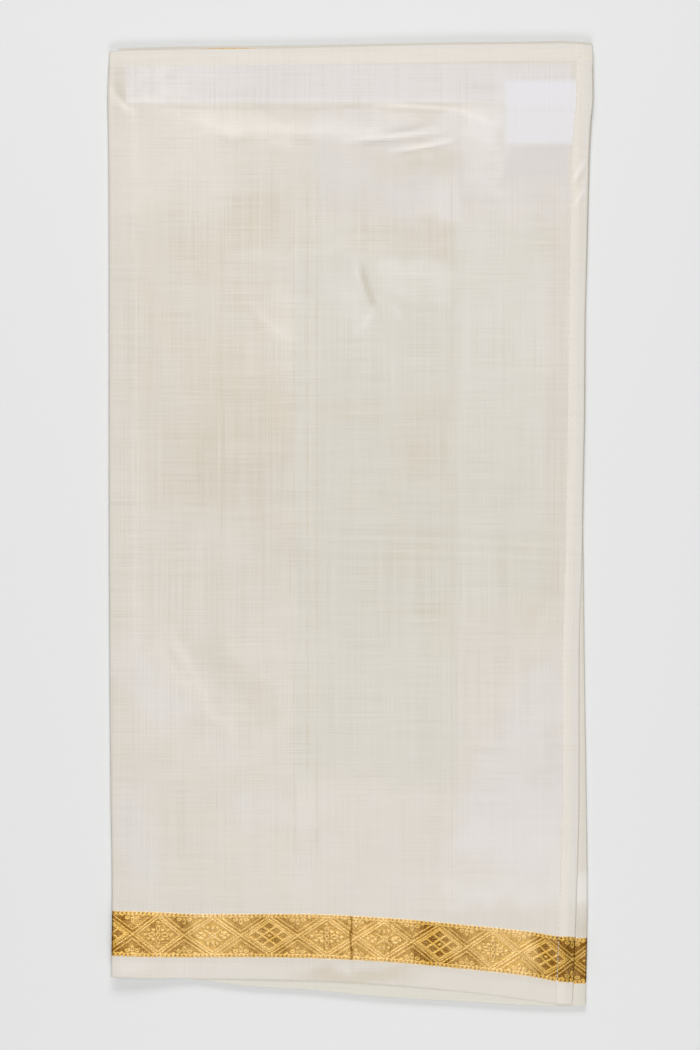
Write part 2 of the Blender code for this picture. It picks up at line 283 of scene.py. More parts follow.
# The edges and seams that cross the cloth, from the left fold to the free end
EDGES = [
    Edge(-160.0, -297.0, -283.6, -253.8, 300.8, 310.6, -296.0),
    Edge(-152.0, -297.6, -284.1, -254.1, 300.8, 311.4, -296.3),
    Edge(-132.0, -298.8, -285.1, -254.8, 300.9, 311.9, -297.0),
    Edge(-99.0, -299.3, -285.8, -256.4, 301.0, 312.5, -300.2),
    Edge(-66.0, -299.7, -285.6, -256.3, 301.5, 312.8, -304.4),
    Edge(-33.0, -300.3, -286.0, -256.3, 302.1, 313.2, -306.2),
    Edge(20.0, -302.9, -288.4, -258.6, 302.8, 314.6, -311.2),
    Edge(72.0, -307.6, -293.0, -263.1, 304.2, 315.5, -314.3),
    Edge(119.0, -313.5, -298.3, -268.0, 304.5, 316.0, -317.0),
    Edge(139.0, -316.1, -301.8, -271.0, 304.3, 316.4, -317.5),
    Edge(160.0, -316.8, -302.6, -271.5, 304.3, 315.3, -317.3),
]

# Creases: from, to, sideways bend, height, reach on the side above and below, and the painted
# highlight along them, or painted shade where it is a minus. Each keeps a share of its height at
# its two ends, and rises to it over a share of its length.
CREASE_END, CREASE_TAPER = 0.35, 0.3
CREASES = [
    Crease(-131.0, 272.5, -64.0, 255.0, -3.0, 1.2, 8.0, 5.5, 0.5),
    Crease(-70.0, 257.0, -22.0, 258.0, -2.0, 1.2, 8.0, 5.5, 0.5),
    Crease(-30.0, 259.0, 26.0, 256.0, 1.0, 1.2, 7.0, 5.0, 0.5),
    Crease(-121.0, 266.0, -75.0, 252.0, 1.5, -0.2, 3.4, 3.4, -0.4),
    Crease(-80.0, 251.5, -24.0, 252.0, 3.0, -0.24, 3.6, 3.0, -0.55),
    Crease(-4.0, 252.0, 62.0, 259.5, -0.8, 0.6, 2.2, 1.7, 0.6),
    Crease(27.0, 245.4, 68.0, 252.2, -0.8, 0.8, 2.2, 1.4, 1.0),
    Crease(18.0, 256.5, 56.0, 265.0, -1.0, -0.3, 2.6, 2.0, -0.6),
    Crease(2.0, 248.8, 64.0, 256.2, -1.0, -0.35, 1.8, 1.5, -0.6),
    Crease(30.0, 243.4, 66.0, 249.2, -1.0, -0.2, 1.6, 1.8, -0.35),
    Crease(17.0, 275.6, 76.0, 271.6, 0.8, 0.26, 1.5, 1.5, 0.75),
    Crease(30.0, 277.0, 72.0, 273.6, 0.8, -0.04, 1.2, 1.2, -0.24),
    Crease(70.0, 270.0, 98.0, 262.0, 1.0, 0.5, 2.5, 2.0, 0.4),
    Crease(-157.5, 287.0, -142.5, 270.5, -2.6, 0.5, 2.4, 2.8, 0.75),
    Crease(-153.5, 291.0, -147.5, 277.0, -0.8, -0.12, 2.4, 2.4, -0.3),
    Crease(5.0, 171.0, 63.0, 160.0, 2.0, 0.55, 7.0, 5.5, 0.2),
    Crease(8.0, 170.0, 18.0, 141.0, -1.5, -0.8, 1.8, 1.8, -1.3),
    Crease(-18.0, 160.0, 12.0, 128.0, 6.0, 0.6, 12.0, 9.0, 0.2),
    Crease(12.0, 142.0, -14.0, 118.0, -5.0, -0.28, 2.8, 2.8, -0.2),
    Crease(-68.0, 152.0, -38.0, 122.0, -4.0, 0.6, 4.0, 3.5, 0.3),
    Crease(25.0, 147.0, 36.0, 134.0, 0.0, 0.35, 2.4, 2.6, 0.30),
    Crease(-6.0, 119.0, 22.0, 152.0, -3.0, 0.2, 3.0, 3.0, 0.40),
    Crease(3.0, 175.0, 12.0, 150.0, -1.5, 0.2, 1.8, 1.8, 0.45),
    Crease(-119.5, -70.0, -103.0, -100.0, 0.6, 0.36, 3.4, 4.6, 0.36),
    Crease(-122.0, -80.0, -109.0, -100.0, 0.6, -0.14, 3.0, 3.0, -0.24),
    Crease(-104.0, -98.0, -92.0, -116.0, -0.6, 0.3, 3.0, 3.0, 0.25),
    Crease(155.6, 238.5, 147.0, 225.0, 0.8, 0.8, 1.3, 1.2, 1.9),
    Crease(155.2, 221.0, 148.5, 210.0, 0.6, 0.7, 1.2, 1.2, 1.7),
    Crease(156.0, 233.0, 149.5, 222.0, 0.6, -0.25, 1.5, 1.5, -0.6),
    Crease(-150.0, 4.0, 120.0, 0.5, 1.0, 0.14, 2.0, 1.6, 0.14),
    Crease(-40.0, -2.5, 146.0, -9.0, 0.5, -0.10, 1.4, 1.4, -0.14),
    Crease(-52.0, -8.0, 148.0, -14.5, 0.5, 0.12, 1.6, 1.4, 0.18),
    Crease(-50.0, -11.5, 148.0, -18.0, 0.5, -0.10, 1.2, 1.2, -0.16),
    Crease(-36.0, -16.5, 149.0, -23.0, 0.5, 0.12, 1.6, 1.4, 0.18),
    Crease(-36.0, -20.0, 149.0, -27.0, 0.5, -0.12, 1.4, 1.4, -0.22),
    Crease(0.8, -287.5, 0.6, -298.0, 0.0, -0.03, 0.6, 0.6, -0.8),
]

# Slow waves of cloth that has been folded and laid by hand: how high they are, and each one's
# length across and up, a minus leaning it the other way, its start and its share
WAVE_HEIGHT = 0.16
WAVES = [
    Wave(31.0, 67.0, 0.0, 1.0),
    Wave(-83.0, 43.0, 1.3, 1.0),
    Wave(17.0, -29.0, 0.6, 0.5),
]

# ---- tones and colours -----------------------------------------------------------------------

# Broad tones of the sheer cloth, warm and plaid where its layers lie apart, smooth and greyer
# where they touch, with painted highlights on puffed silk: centre, half sizes, turn in degrees,
# softness across and up, how much lighter, how much warmer, and how much greener or, with a minus,
# more lilac
PATCHES = [
    Patch(-93.0, 115.0, 48.0, 105.0, 0.0, 20.0, 44.0, -0.14, 0.24),
    Patch(-86.0, 68.0, 20.0, 50.0, 0.0, 16.0, 40.0, -0.12, 0.20, 0.3),
    Patch(-52.0, 200.0, 28.0, 20.0, 0.0, 8.0, 9.0, -0.06, 0.16),
    Patch(-47.0, 75.0, 11.0, 20.0, 0.0, 4.0, 10.0, -0.10, 0.22),
    Patch(-50.0, 14.0, 14.0, 34.0, 0.0, 9.0, 16.0, -0.16, 0.10),
    Patch(-86.0, -14.0, 20.0, 12.0, -30.0, 14.0, 12.0, 0.06, -0.08),
    Patch(18.0, 20.0, 53.0, 190.0, 0.0, 1.5, 30.0, -0.22, -0.16, 0.6),
    Patch(-29.0, 10.0, 6.0, 210.0, 0.0, 1.5, 20.0, 0.08, -0.04),
    Patch(100.0, 75.0, 30.0, 128.0, 0.0, 2.0, 30.0, 0.02, -0.12, 0.7),
    Patch(112.0, 0.0, 43.0, 250.0, 0.0, 1.5, 30.0, -0.04, -0.12),
    Patch(22.0, 229.0, 44.0, 20.0, 3.0, 9.0, 9.0, -0.14, -0.36, 0.3),
    Patch(54.0, 238.0, 14.0, 10.0, -24.0, 10.0, 10.0, -0.14, 0.46, 0.6),
    Patch(30.0, 236.0, 14.0, 8.0, 20.0, 10.0, 8.0, -0.02, 0.34, 0.4),
    Patch(52.0, 210.0, 24.0, 8.0, -6.0, 12.0, 8.0, 0.12, -0.06, -0.3),
    Patch(88.0, 252.0, 13.0, 34.0, 0.0, 8.0, 14.0, 0.26, -0.20),
    Patch(60.0, 236.0, 84.0, 36.0, 0.0, 12.0, 16.0, 0.02, -0.08, -0.8),
    Patch(122.0, 238.0, 21.0, 11.0, 0.0, 3.0, 7.0, -0.26, -0.40, -0.5),
    Patch(-3.0, 144.0, 17.0, 25.0, -10.0, 7.0, 8.0, 0.08, -0.06),
    Patch(44.0, 161.0, 27.0, 11.0, -8.0, 8.0, 6.0, 0.28, 0.0),
    Patch(-42.0, 136.0, 16.0, 15.0, -35.0, 9.0, 8.0, 0.14, 0.04),
    Patch(34.0, 188.0, 34.0, 12.0, -6.0, 14.0, 12.0, -0.06, 0.38, -0.8),
    Patch(49.0, 60.0, 19.0, 30.0, 0.0, 10.0, 16.0, -0.05, 0.24, -0.3),
    Patch(2.0, 75.0, 20.0, 8.0, 10.0, 12.0, 9.0, -0.04, 0.22),
    Patch(38.0, -24.0, 16.0, 11.0, -10.0, 11.0, 9.0, -0.04, 0.22),
    Patch(58.0, -68.0, 11.0, 20.0, 0.0, 7.0, 12.0, -0.08, 0.24),
    Patch(132.0, 194.0, 10.0, 10.0, 0.0, 6.0, 5.0, -0.08, 0.30),
    Patch(137.0, 120.0, 6.0, 70.0, 0.0, 6.0, 20.0, -0.06, 0.22, -0.5),
    Patch(120.0, -38.0, 20.0, 36.0, 14.0, 16.0, 16.0, -0.08, 0.26),
    Patch(132.0, -156.0, 6.0, 24.0, -20.0, 10.0, 12.0, -0.16, 0.14),
    Patch(92.0, -62.0, 18.0, 26.0, 20.0, 14.0, 14.0, -0.06, 0.04),
    Patch(122.0, -164.0, 34.0, 66.0, -24.0, 18.0, 22.0, 0.14, -0.28, -0.7),
    Patch(60.0, -212.0, 98.0, 40.0, 0.0, 6.0, 16.0, 0.03, -0.12, -0.1),
    Patch(-135.0, -104.0, 15.0, 32.0, 38.0, 16.0, 18.0, 0.12, -0.34, -0.4),
    Patch(-140.0, -208.0, 13.0, 36.0, 12.0, 14.0, 18.0, 0.09, -0.30, -0.5),
    Patch(-84.0, -150.0, 18.0, 8.0, -36.0, 12.0, 9.0, 0.08, -0.16),
    Patch(-60.0, -186.0, 20.0, 13.0, 20.0, 14.0, 11.0, 0.08, -0.30, -0.4),
    Patch(-84.0, -214.0, 40.0, 26.0, 0.0, 18.0, 20.0, 0.0, 0.12),
    Patch(4.0, -297.0, 36.0, 5.0, 0.0, 30.0, 7.0, -0.48, 0.62),
    Patch(-73.0, -104.0, 34.0, 8.0, -52.0, 14.0, 9.0, -0.30, 0.14),
    Patch(-68.0, 264.0, 32.0, 8.0, -8.0, 10.0, 4.0, 0.26, 0.06),
    Patch(-8.0, 261.0, 17.0, 8.0, 4.0, 5.0, 4.0, 0.06, -0.14),
    Patch(54.0, 263.0, 42.0, 9.0, 0.0, 8.0, 5.0, 0.26, -0.14),
    Patch(-150.0, -20.0, 8.0, 250.0, 0.0, 5.0, 40.0, -0.08, 0.02),
    Patch(-141.5, 90.0, 1.6, 170.0, 0.0, 3.0, 30.0, 0.20, 0.0),
    Patch(-32.0, 180.0, 44.0, 3.5, 12.0, 10.0, 5.0, 0.16, 0.0),
    Patch(-6.0, 190.0, 30.0, 16.0, 0.0, 14.0, 18.0, 0.18, 0.0),
    Patch(62.0, 213.0, 8.0, 14.0, 0.0, 8.0, 12.0, 0.22, -0.06),
    Patch(98.0, -246.0, 34.0, 8.0, 0.0, 16.0, 12.0, 0.14, -0.26),
    Patch(-132.0, -238.0, 14.0, 6.0, 0.0, 12.0, 12.0, -0.06, 0.16),
    Patch(38.0, 184.0, 30.0, 3.5, 0.0, 8.0, 5.0, 0.16, 0.0),
    Patch(46.0, 244.0, 8.0, 6.0, 60.0, 7.0, 6.0, 0.20, 0.0),
    Patch(-56.0, 56.0, 8.0, 6.0, 0.0, 8.0, 6.0, 0.14, 0.0),
    Patch(-118.0, 236.0, 34.0, 34.0, 0.0, 24.0, 30.0, 0.22, 0.0),
    Patch(20.0, 8.0, 150.0, 72.0, 0.0, 30.0, 70.0, -0.20, 0.0),
    Patch(104.0, -222.0, 40.0, 26.0, 0.0, 12.0, 20.0, 0.14, 0.0),
    Patch(-143.0, -291.0, 10.0, 3.0, 0.0, 6.0, 5.0, 0.20, -0.20),
    Patch(-98.0, -112.0, 44.0, 5.0, -49.0, 14.0, 7.0, 0.22, 0.0),
    Patch(126.0, -66.0, 24.0, 8.0, 48.0, 10.0, 9.0, 0.14, -0.10),
]

# How far the patches' outlines wander and the size of each wander, and the softness below which
# an outline wanders less. Cells in the table of unevenness.
WANDERS = [(5.0, 17.0), (3.0, 7.0)]
SOFT_WANDER = 8.0
CELLS = 90

# Dark warp threads of the hidden layers' edges: place, reach, lowest and highest, strength. They
# are darkest in the middle share of their reach, fade at their ends and are broken along them.
BARS = [
    Bar(-84.5, 0.8, -60.0, 205.0, 0.26),
    Bar(-57.4, 0.7, -95.0, 215.0, 0.22),
    Bar(-36.8, 0.8, -250.0, 220.0, 0.26),
    Bar(-28.1, 1.2, -190.0, 240.0, 0.30),
    Bar(-21.8, 1.1, -230.0, 248.0, 0.28),
    Bar(59.4, 0.7, -150.0, 150.0, 0.20),
    Bar(67.0, 1.0, -255.0, 244.0, 0.20),
    Bar(134.5, 0.8, -80.0, 230.0, 0.20),
]
BAR_MIDDLE, BAR_FADE = 0.3, 30.0
BAR_BREAKS = Noise(3.0, 14.0, 3.0, 9.4)

# How the tape shows through: the softness of its outline, its crumples' size, painted highlight
# and where they fade out, the greyer stretch, and the painted highlight along its lower edge
TAPE_SOFT = 2.0
CRUMPLE_SIZE, CRUMPLE_TONE, CRUMPLE_FROM, CRUMPLE_OVER = 5.0, 0.48, -145.0, 100.0
TAPE_GREY_X, TAPE_GREY_REACH, TAPE_GREY = -58.0, 34.0, 0.10
TAPE_LINE_UP, TAPE_LINE_REACH, TAPE_LINE = 1.8, 1.4, 0.26

# The tan line of painted shade at the tape's foot: how far down it lies, its reach and darkness,
# how far it wanders and breaks up, the sizes of both, and where it shows
FOOT_DOWN, FOOT_REACH, FOOT_TONE = 3.2, 1.2, 0.6
FOOT_WANDER, FOOT_WANDER_SIZE, FOOT_BREAK, FOOT_BREAK_SIZE = 0.8, 13.0, 0.45, 9.0
FOOT_AREA = Area((-122.0, 200.0), (10.0, 300.0), 44.0)

# The label shows through a little lower and further right than it lies, with a soft outline
LABEL_LOWER, LABEL_FURTHER, LABEL_SOFT = 1.6, 3.0, 5.6

# Silk that stands off what lies under it, with a cooler painted highlight: beside the free end low
# down, and on the end hem below the waist
LIFTED_LOW = Area((132.0, -250.0), (166.0, -216.0), 14.0)
LIFTED_HEM = Area((154.0, 212.0), (166.0, 282.0), 10.0)
LIFTED_HIGHLIGHT, LIFTED_WARM = 0.22, -0.16

# The darkest and the lightest tone of all
TONE_LEAST, TONE_MOST = -1.5, 1.9

# The silk's mottle, how its warmth wavers, and the darker strip just below the gold band
MOTTLES = [(0.6, 26.0), (0.4, 10.0)]
MOTTLE_TONE, WARM_WAVER, WARM_SIZE = 0.10, 0.16, 15.0
SELVEDGE_TONE, SELVEDGE_REACH = 0.36, 5.5

# Turned allowances under the hems: how deep they reach, and how softly they start and end. The
# rest of the hems is paler above a height, over some distance.
END_ALLOWANCE = Allowance(5.2, 0.8, 2.6)
WAIST_ALLOWANCE = Allowance(7.6, 1.6, 2.4)
TURNED_FROM, TURNED_OVER = -260.0, 20.0

# The plaid: its strength on plain silk, with warmth, at least and at most, on the hems, over the
# tape and the label, and how much weaker it is on the selvedge and low on the field
PLAID, PLAID_WARM, PLAID_LEAST, PLAID_MOST = 0.70, 0.66, 0.22, 1.1
PLAID_HEM, PLAID_TAPE, PLAID_LABEL = 0.54, 0.25, 0.7
PLAID_SELVEDGE, PLAID_FROM, PLAID_OVER = 0.4, -290.0, 10.0
PLAID_LOW, PLAID_LOW_FROM, PLAID_LOW_OVER = 0.3, -200.0, 60.0
UNDER_PLAID = 0.25

# Shaded lines along the panel's edges: the free end's, how much darker it is where the panel
# overlaps the fold under it, and how much lighter at the waist, and the other edges'
FREE_RIM, FREE_RIM_OVERLAP, FREE_RIM_REACH = 0.26, 0.36, 1.5
OVERLAP_FROM, OVERLAP_OVER = -1.5, 2.0
RIM_WAIST, RIM_WAIST_FROM, RIM_WAIST_OVER = 0.7, 298.0, 8.0
LEFT_RIM, LOW_RIM, TOP_RIM = Rim(0.06, 2.2), Rim(0.16, 1.0), Rim(0.04, 0.9)
UNDER_RIMS = [Rim(0.05, 1.2), Rim(0.09, 9.0)]

# The strip of the folded layers that shows: cooler all along, with painted light on a swell low
# down and painted shade in a hollow under it
UNDER_STRIP, UNDER_COOL = Area((146.0, -290.0), (164.0, -90.0), 20.0), -0.26
UNDER_SWELL = Area((148.0, -249.0), (162.0, -231.0), 7.0)
SWELL_TONE, SWELL_WARM = 0.62, -0.66
UNDER_HOLLOW, HOLLOW_SHADE = Area((146.0, -274.0), (162.0, -258.0), 8.0), -0.56

# Uneven threads drawn by noise: gap between them, their run, weight, and a shift between the
# drawings. Real threads lie about 0.25 mm apart, too fine to show, so they are drawn coarser.
THREADS = [
    Thread(0.95, 80.0, 1.20, 0.0),
    Thread(2.10, 160.0, 0.34, 8.1),
    Thread(6.00, 240.0, 0.40, 4.7),
]

# The weft's run and gap as shares of the warp's, each way's shift, the blotches in which the
# threads fade in and out, from and to, and how strongly they are drawn at last
WEFT_RUN, WEFT_GAP = 0.5, 0.9
WAYS = [("warp", 0.0), ("weft", 3.3)]
THREAD_DETAIL = 0.6
BEAT = Noise(17.0, 24.0, shift=5.5)
BEAT_FADE = {"From Min": 0.36, "From Max": 0.62, "To Min": 0.5, "To Max": 1.35}
THREAD_CONTRAST = 2.2

# Tints laid over the silk's ground colour, each by a number painted on the pieces: the layers'
# tones with their painted highlights and shade, what shows through from behind, and the doubled
# and turned parts of the hems
TINTS = [
    Tint("warm", 1.0, 0.75, "#dbcfba"),
    Tint("warm", -1.0, 0.75, "#dbd8d5"),
    Tint("tape", 1.0, 0.85, "#ddd8d6"),
    Tint("label", 1.0, 0.74, "#e4e3e8"),
    Tint("tone", 1.0, 0.65, "#f7f1ea"),
    Tint("tone", -1.0, 0.55, "#b9ae9a"),
    Tint("turned", 1.0, 0.60, "#dfdad4"),
    Tint("doubled", 1.0, 0.55, "#e5ded4"),
    Tint("cast", 1.0, 0.14, "#d0dbcb"),
    Tint("cast", -1.0, 0.14, "#d7d2e0"),
]
# The painted shade of the shaded lines along the edges
EDGE_TINTS = [Tint("rim", 1.0, 0.85, "#8f845f")]
BAR_COLOUR = "#c8b698"

# Threads' lighter and darker side: which side, how strongly, colour
THREAD_COLOURS = [(-1.0, 0.17, "#b3a788"), (1.0, 0.08, "#fbf6ee")]

# Silk's roughness, and how far its threads change it
SILK_ROUGH, ROUGH_CHANGE = 0.5, 0.06

# The depth of every thread, float and yarn in the surface: 0.2 mm
WEAVE_DEEP = 0.2 * MM

# The gold's floats of metal thread, really 0.3 mm wide and drawn at 0.7 mm to show, their finer
# grains, and the blotches in which its painted glare comes and goes
FLOATS = Noise(1.5, 0.7)
GRAINS = Noise(0.8, 0.8, 1.0, 6.3)
GLARE_BLOTCHES = Noise(4.5, 5.5, 3.0, 3.1)

# Gold colours in its ground and on its floats, a copy in painted shade and a copy in painted
# glare,
# its grain: from, to, how strongly, colour, and the cream silk in the gaps of its edges
ZARI_SHADED = ("#6a4000", "#c59d49")
ZARI_BRIGHT = ("#c49e5a", "#d9b780")
ZARI_GRAINS = [(1.0, 1.32, 0.32, "#eccb84"), (0.98, 0.7, 0.36, "#7e5a0c")]
ZARI_BARE = "#e6dccb"

# Painted glare: how brightly the metal thread is painted to shine along the gold band
GLINTS = [
    Glint(-160.0, 0.02),
    Glint(-151.0, 0.08),
    Glint(-142.0, 0.40),
    Glint(-133.0, 0.40),
    Glint(-121.0, 0.56),
    Glint(-110.0, 0.36),
    Glint(-96.0, 1.00),
    Glint(-73.0, 0.66),
    Glint(-52.0, 0.34),
    Glint(-25.0, 0.62),
    Glint(0.0, 0.70),
    Glint(22.0, 0.74),
    Glint(36.0, 0.60),
    Glint(53.0, 0.05),
    Glint(68.0, 0.40),
    Glint(82.0, 0.60),
    Glint(108.0, 1.00),
    Glint(118.0, 0.80),
    Glint(127.0, 0.08),
    Glint(160.0, 0.05),
]

# The flower's heart and the star's ring: radius and width, and how flat the ring is. The star's
# stems: slope, their length for each millimetre across, width and how far out they reach
FLOWER_HEART, STAR_RING, STAR_FLAT = (1.2, 0.7), (2.2, 0.6), 0.8
STEM_SLOPE, STEM_LENGTH, STEM_WIDE, STEM_OUT = 0.7, 1.22, 0.7, 6.4

# Petals, leaves and buds of the gold figure: centre, reach across and up, and 1 for light metal
# or -1 for the dark heart of the spot before it. The flower and the star are one quarter of
# their figure, the corner one half.
FLOWER = [
    Spot(4.6, 0.0, 2.5, 1.5, 1),
    Spot(4.6, 0.0, 1.7, 0.7, -1),
    Spot(0.0, 4.0, 1.5, 2.2, 1),
    Spot(0.0, 4.0, 0.7, 1.4, -1),
    Spot(3.2, 2.9, 1.3, 0.9, 1),
    Spot(9.2, 0.0, 1.3, 0.9, 1),
    Spot(0.0, 7.6, 0.9, 0.7, 1),
    Spot(6.6, 2.6, 0.9, 0.6, 1),
]
STAR = [
    Spot(7.4, 1.6, 1.7, 0.7, 1),
    Spot(5.6, 0.0, 1.3, 0.8, 1),
    Spot(0.0, 4.9, 0.9, 1.2, 1),
    Spot(3.0, 5.2, 0.8, 0.9, 1),
    Spot(10.2, 0.0, 1.1, 0.7, 1),
]
CORNER = [
    Spot(0.0, 3.6, 1.2, 2.0, 1),
    Spot(0.0, 3.6, 0.5, 1.1, -1),
    Spot(3.4, 2.4, 1.8, 1.1, 1),
    Spot(3.4, 2.4, 0.9, 0.4, -1),
    Spot(0.0, 0.6, 1.0, 0.6, 1),
    Spot(7.0, 1.0, 1.2, 0.6, 1),
]

# How long a yarn of the tape, the label or the sewing thread shows, for its spacing, and the
# shift between its two ways
YARN_RUN, YARN_SHIFT = 8, 2.0

# The floor, the soft lamps in metres and watts, the light of the room, and the camera
FLOOR_SIZE, FLOOR_COLOUR = 6.0, "#e5e6e5"
SOFTBOXES = [
    Softbox("softbox_overhead", (0.0, 0.0, 2.0), (0.8, 0.8), 17.4),
    Softbox("softbox_above", (-0.1, 1.7, 1.35), (1.0, 0.8), 20.0),
    Softbox("softbox_below", (0.1, -1.7, 1.35), (1.0, 0.8), 16.1),
]
ROOM_LIGHT = 0.14
LENS, SENSOR = 85.0, 36.0
VIEW_TALL, VIEW_Y = 693.0, -0.7


# ---- reading the tables ----------------------------------------------------------------------

def read(rows, along, column, at):
    """One column of a table at places between its rows, on a smooth curve."""
    rows = sorted(rows, key=lambda row: getattr(row, along))
    places = np.array([getattr(row, along) for row in rows])
    values = np.array([getattr(row, column) for row in rows])
    slopes = np.diff(values) / np.diff(places)
    product = slopes[:-1] * slopes[1:]
    total = np.where(product > 0, slopes[:-1] + slopes[1:], 1.0)
    bends = np.where(product > 0, 2 * product / total, 0.0)
    tangents = np.concatenate([slopes[:1], bends, slopes[-1:]])
    at = np.clip(at, places[0], places[-1])
    i = np.clip(np.searchsorted(places, at, side="right") - 1, 0, len(slopes) - 1)
    span = places[i + 1] - places[i]
    t = (at - places[i]) / span
    return (values[i] * (1 + 2 * t) * (1 - t) ** 2 + values[i + 1] * t * t * (3 - 2 * t)
            + span * tangents[i] * t * (1 - t) ** 2 - span * tangents[i + 1] * t * t * (1 - t))


def side(column):
    """One of the cloth's sides, as x at a height up the cloth."""
    return lambda y: read(SIDES, "y", column, y)


def edge(column, shift=0.0):
    """One of the edges and seams across the cloth, as y at a distance across it."""
    return lambda x: read(EDGES, "x", column, x) + shift


def smooth(t):
    """From 0 to 1, starting and ending gently."""
    t = np.clip(t, 0.0, 1.0)
    return t * t * (3 - 2 * t)


def near(distance, reach):
    """1 at a line, falling to 0 at a reach from it."""
    return 1.0 - smooth(distance / reach)


def inside(out, soft):
    """1 within an outline and 0 past it, softly, from the distance out of it."""
    return 1.0 - smooth(out / soft + 0.5)


def bell(distance, reach):
    """1 on a line, fading to both sides of it."""
    return np.exp(-(distance / reach) ** 2)


def in_area(x, y, area):
    """1 within an area's low and high corners, falling to 0 past them."""
    out_x = np.maximum(area.low[0] - x, x - area.high[0])
    out_y = np.maximum(area.low[1] - y, y - area.high[1])
    return inside(out_x, area.soft) * inside(out_y, area.soft)


def stations(first, last, step):
    """Evenly spaced places from first to last, both counted."""
    count = max(1, round(abs(last - first) / step))
    return np.linspace(first, last, count + 1)


def laid_out(places, runs):
    """Places carried on along runs, each to a last place at a step."""
    places = list(places)
    for last, step in runs:
        places += list(stations(places[-1], last, step))[1:]
    return places


def shares(places, first, last):
    """Places as shares of the way from first to last."""
    return (np.array(places) - first) / (last - first)


def uneven(x, y, size, seed):
    """Smooth unevenness from -1 to 1, its grains about a size in millimetres, always the same."""
    table = np.random.default_rng(seed).uniform(-1.0, 1.0, (CELLS, CELLS))
    column, row = np.floor(x / size).astype(int), np.floor(y / size).astype(int)
    across, up = smooth(x / size - column), smooth(y / size - row)
    here, beside, above = column % CELLS, (column + 1) % CELLS, (row + 1) % CELLS
    row = row % CELLS
    lower = table[here, row] * (1 - across) + table[beside, row] * across
    upper = table[here, above] * (1 - across) + table[beside, above] * across
    return lower * (1 - up) + upper * up


def layered(x, y, layers, seed):
    """Unevenness in layers, each of a weight and a size."""
    return sum(weight * uneven(x, y, size, seed + k) for k, (weight, size) in enumerate(layers))


# ---- the front panel's height ----------------------------------------------------------------

def over(x, y, low, top):
    """1 over a thing under the panel, falling to 0 past its edges. It reaches the free end."""
    outside = np.maximum(np.maximum(low[0] - x, low[1] - y), y - top)
    return near(outside - CLEAR, RAMP)


def creases(x, y, column):
    """The creases' heights, or their painted highlights and shade, summed at each point."""
    total = np.zeros_like(x)
    for crease in CREASES:
        run = np.array([crease.x1 - crease.x0, crease.y1 - crease.y0])
        length = np.hypot(*run)
        along = ((x - crease.x0) * run[0] + (y - crease.y0) * run[1]) / length ** 2
        off = (-(x - crease.x0) * run[1] + (y - crease.y0) * run[0]) / length
        off = off * (1.0 if run[0] >= 0 else -1.0)
        off = off - crease.bow * 4 * np.clip(along, 0, 1) * (1 - np.clip(along, 0, 1))
        beyond = length * (np.clip(-along, 0, None) + np.clip(along - 1, 0, None))
        reach = np.where(off > 0, crease.above, crease.below)
        profile = np.exp(-(off ** 2 + beyond ** 2) / reach ** 2)
        full = smooth(along / CREASE_TAPER) * smooth((1 - along) / CREASE_TAPER)
        total += getattr(crease, column) * profile * (CREASE_END + (1 - CREASE_END) * full)
    return total


def lift(x, y):
    """How far the lower left corner has lifted."""
    away = np.hypot(x - SIDES[-1].left, (y - EDGES[0].low) * LIFT_UPWARDS)
    return LIFT * near(away, LIFT_REACH)


def waves(x, y):
    """The slight unevenness of cloth that has been folded and laid by hand."""
    return WAVE_HEIGHT * sum(wave.share * np.sin(x / wave.across + y / wave.up + wave.start)
                             for wave in WAVES)


def rolled(distance):
    """How far a rolled edge has come down at a distance in from it."""
    off = np.clip(HEM_ROLL - distance, 0.0, HEM_ROLL)
    return HEM_ROLL - np.sqrt(HEM_ROLL ** 2 - off ** 2)


def hem_step(x, y, right, waist):
    """How far the hems' doubled silk stands up."""
    at_end = smooth((x - right + END_HEM) / END_STEP_WIDE)
    at_waist = WAIST_STEP_SHARE * smooth((y - waist) / WAIST_STEP_WIDE)
    return HEM_STEP * np.maximum(at_end, at_waist)


def panel_top(x, y):
    """Height of the front panel's outer face."""
    left, right = side("left")(y), side("right")(y)
    waist, top, low = edge("waist_low")(x), edge("top")(x), edge("low")(x)
    rise = TAPE_RISE * over(x, y, TAPE_LOW, TAPE_HIGH[1] + BEYOND_TOP)
    rise += LABEL_RISE * over(x, y, LABEL_LOW, LABEL_HIGH[1])
    rise *= TOP_SHARE + (1 - TOP_SHARE) * smooth((top - y) / TOP_REACH)
    droop = LOW_DROOP * near(y - low, LOW_REACH) + END_DROOP * near(right - x, END_REACH)
    height = PANEL_TOP + rise + lift(x, y) + hem_step(x, y, right, waist) - droop
    loose = smooth((x - left - FOLD_RADIUS) / LOOSE_REACH)
    height += (creases(x, y, "height") + waves(x, y)) * loose
    height -= rolled(right - x) + rolled(top - y)
    return np.maximum(height, PANEL_LEAST)


# ---- the front panel's tones -----------------------------------------------------------------

def patches(x, y, column):
    """The patches' tones, summed at each point, their outlines wandering as touching silk does."""
    wander, waver = layered(x, y, WANDERS, seed=1), layered(x, y, WANDERS, seed=3)
    total = np.zeros_like(x)
    for patch in PATCHES:
        turn = math.radians(patch.turn)
        wanders = min(patch.soft_x / SOFT_WANDER, 1.0) ** 2
        at_x, at_y = x - patch.x + wander * wanders, y - patch.y + waver
        across = at_x * math.cos(turn) + at_y * math.sin(turn)
        up = at_y * math.cos(turn) - at_x * math.sin(turn)
        shape = inside(np.abs(across) - patch.wide, patch.soft_x)
        shape *= inside(np.abs(up) - patch.tall, patch.soft_y)
        total += getattr(patch, column) * shape
    return total


def doubled_silk(from_seam, allowance):
    """1 where a turned allowance doubles the silk past its seam."""
    return smooth(from_seam / allowance.start) * near(from_seam - allowance.deep, allowance.end)


def hem_shade(x, y):
    """1 where either hem's allowance doubles the silk."""
    beside = doubled_silk(x - side("right")(y) + END_HEM, END_ALLOWANCE)
    return np.maximum(beside, doubled_silk(y - edge("waist_low")(x), WAIST_ALLOWANCE))


def rim_line(distance, rim):
    """A shaded line at a distance in from an edge."""
    return rim.strength * near(distance, rim.reach)


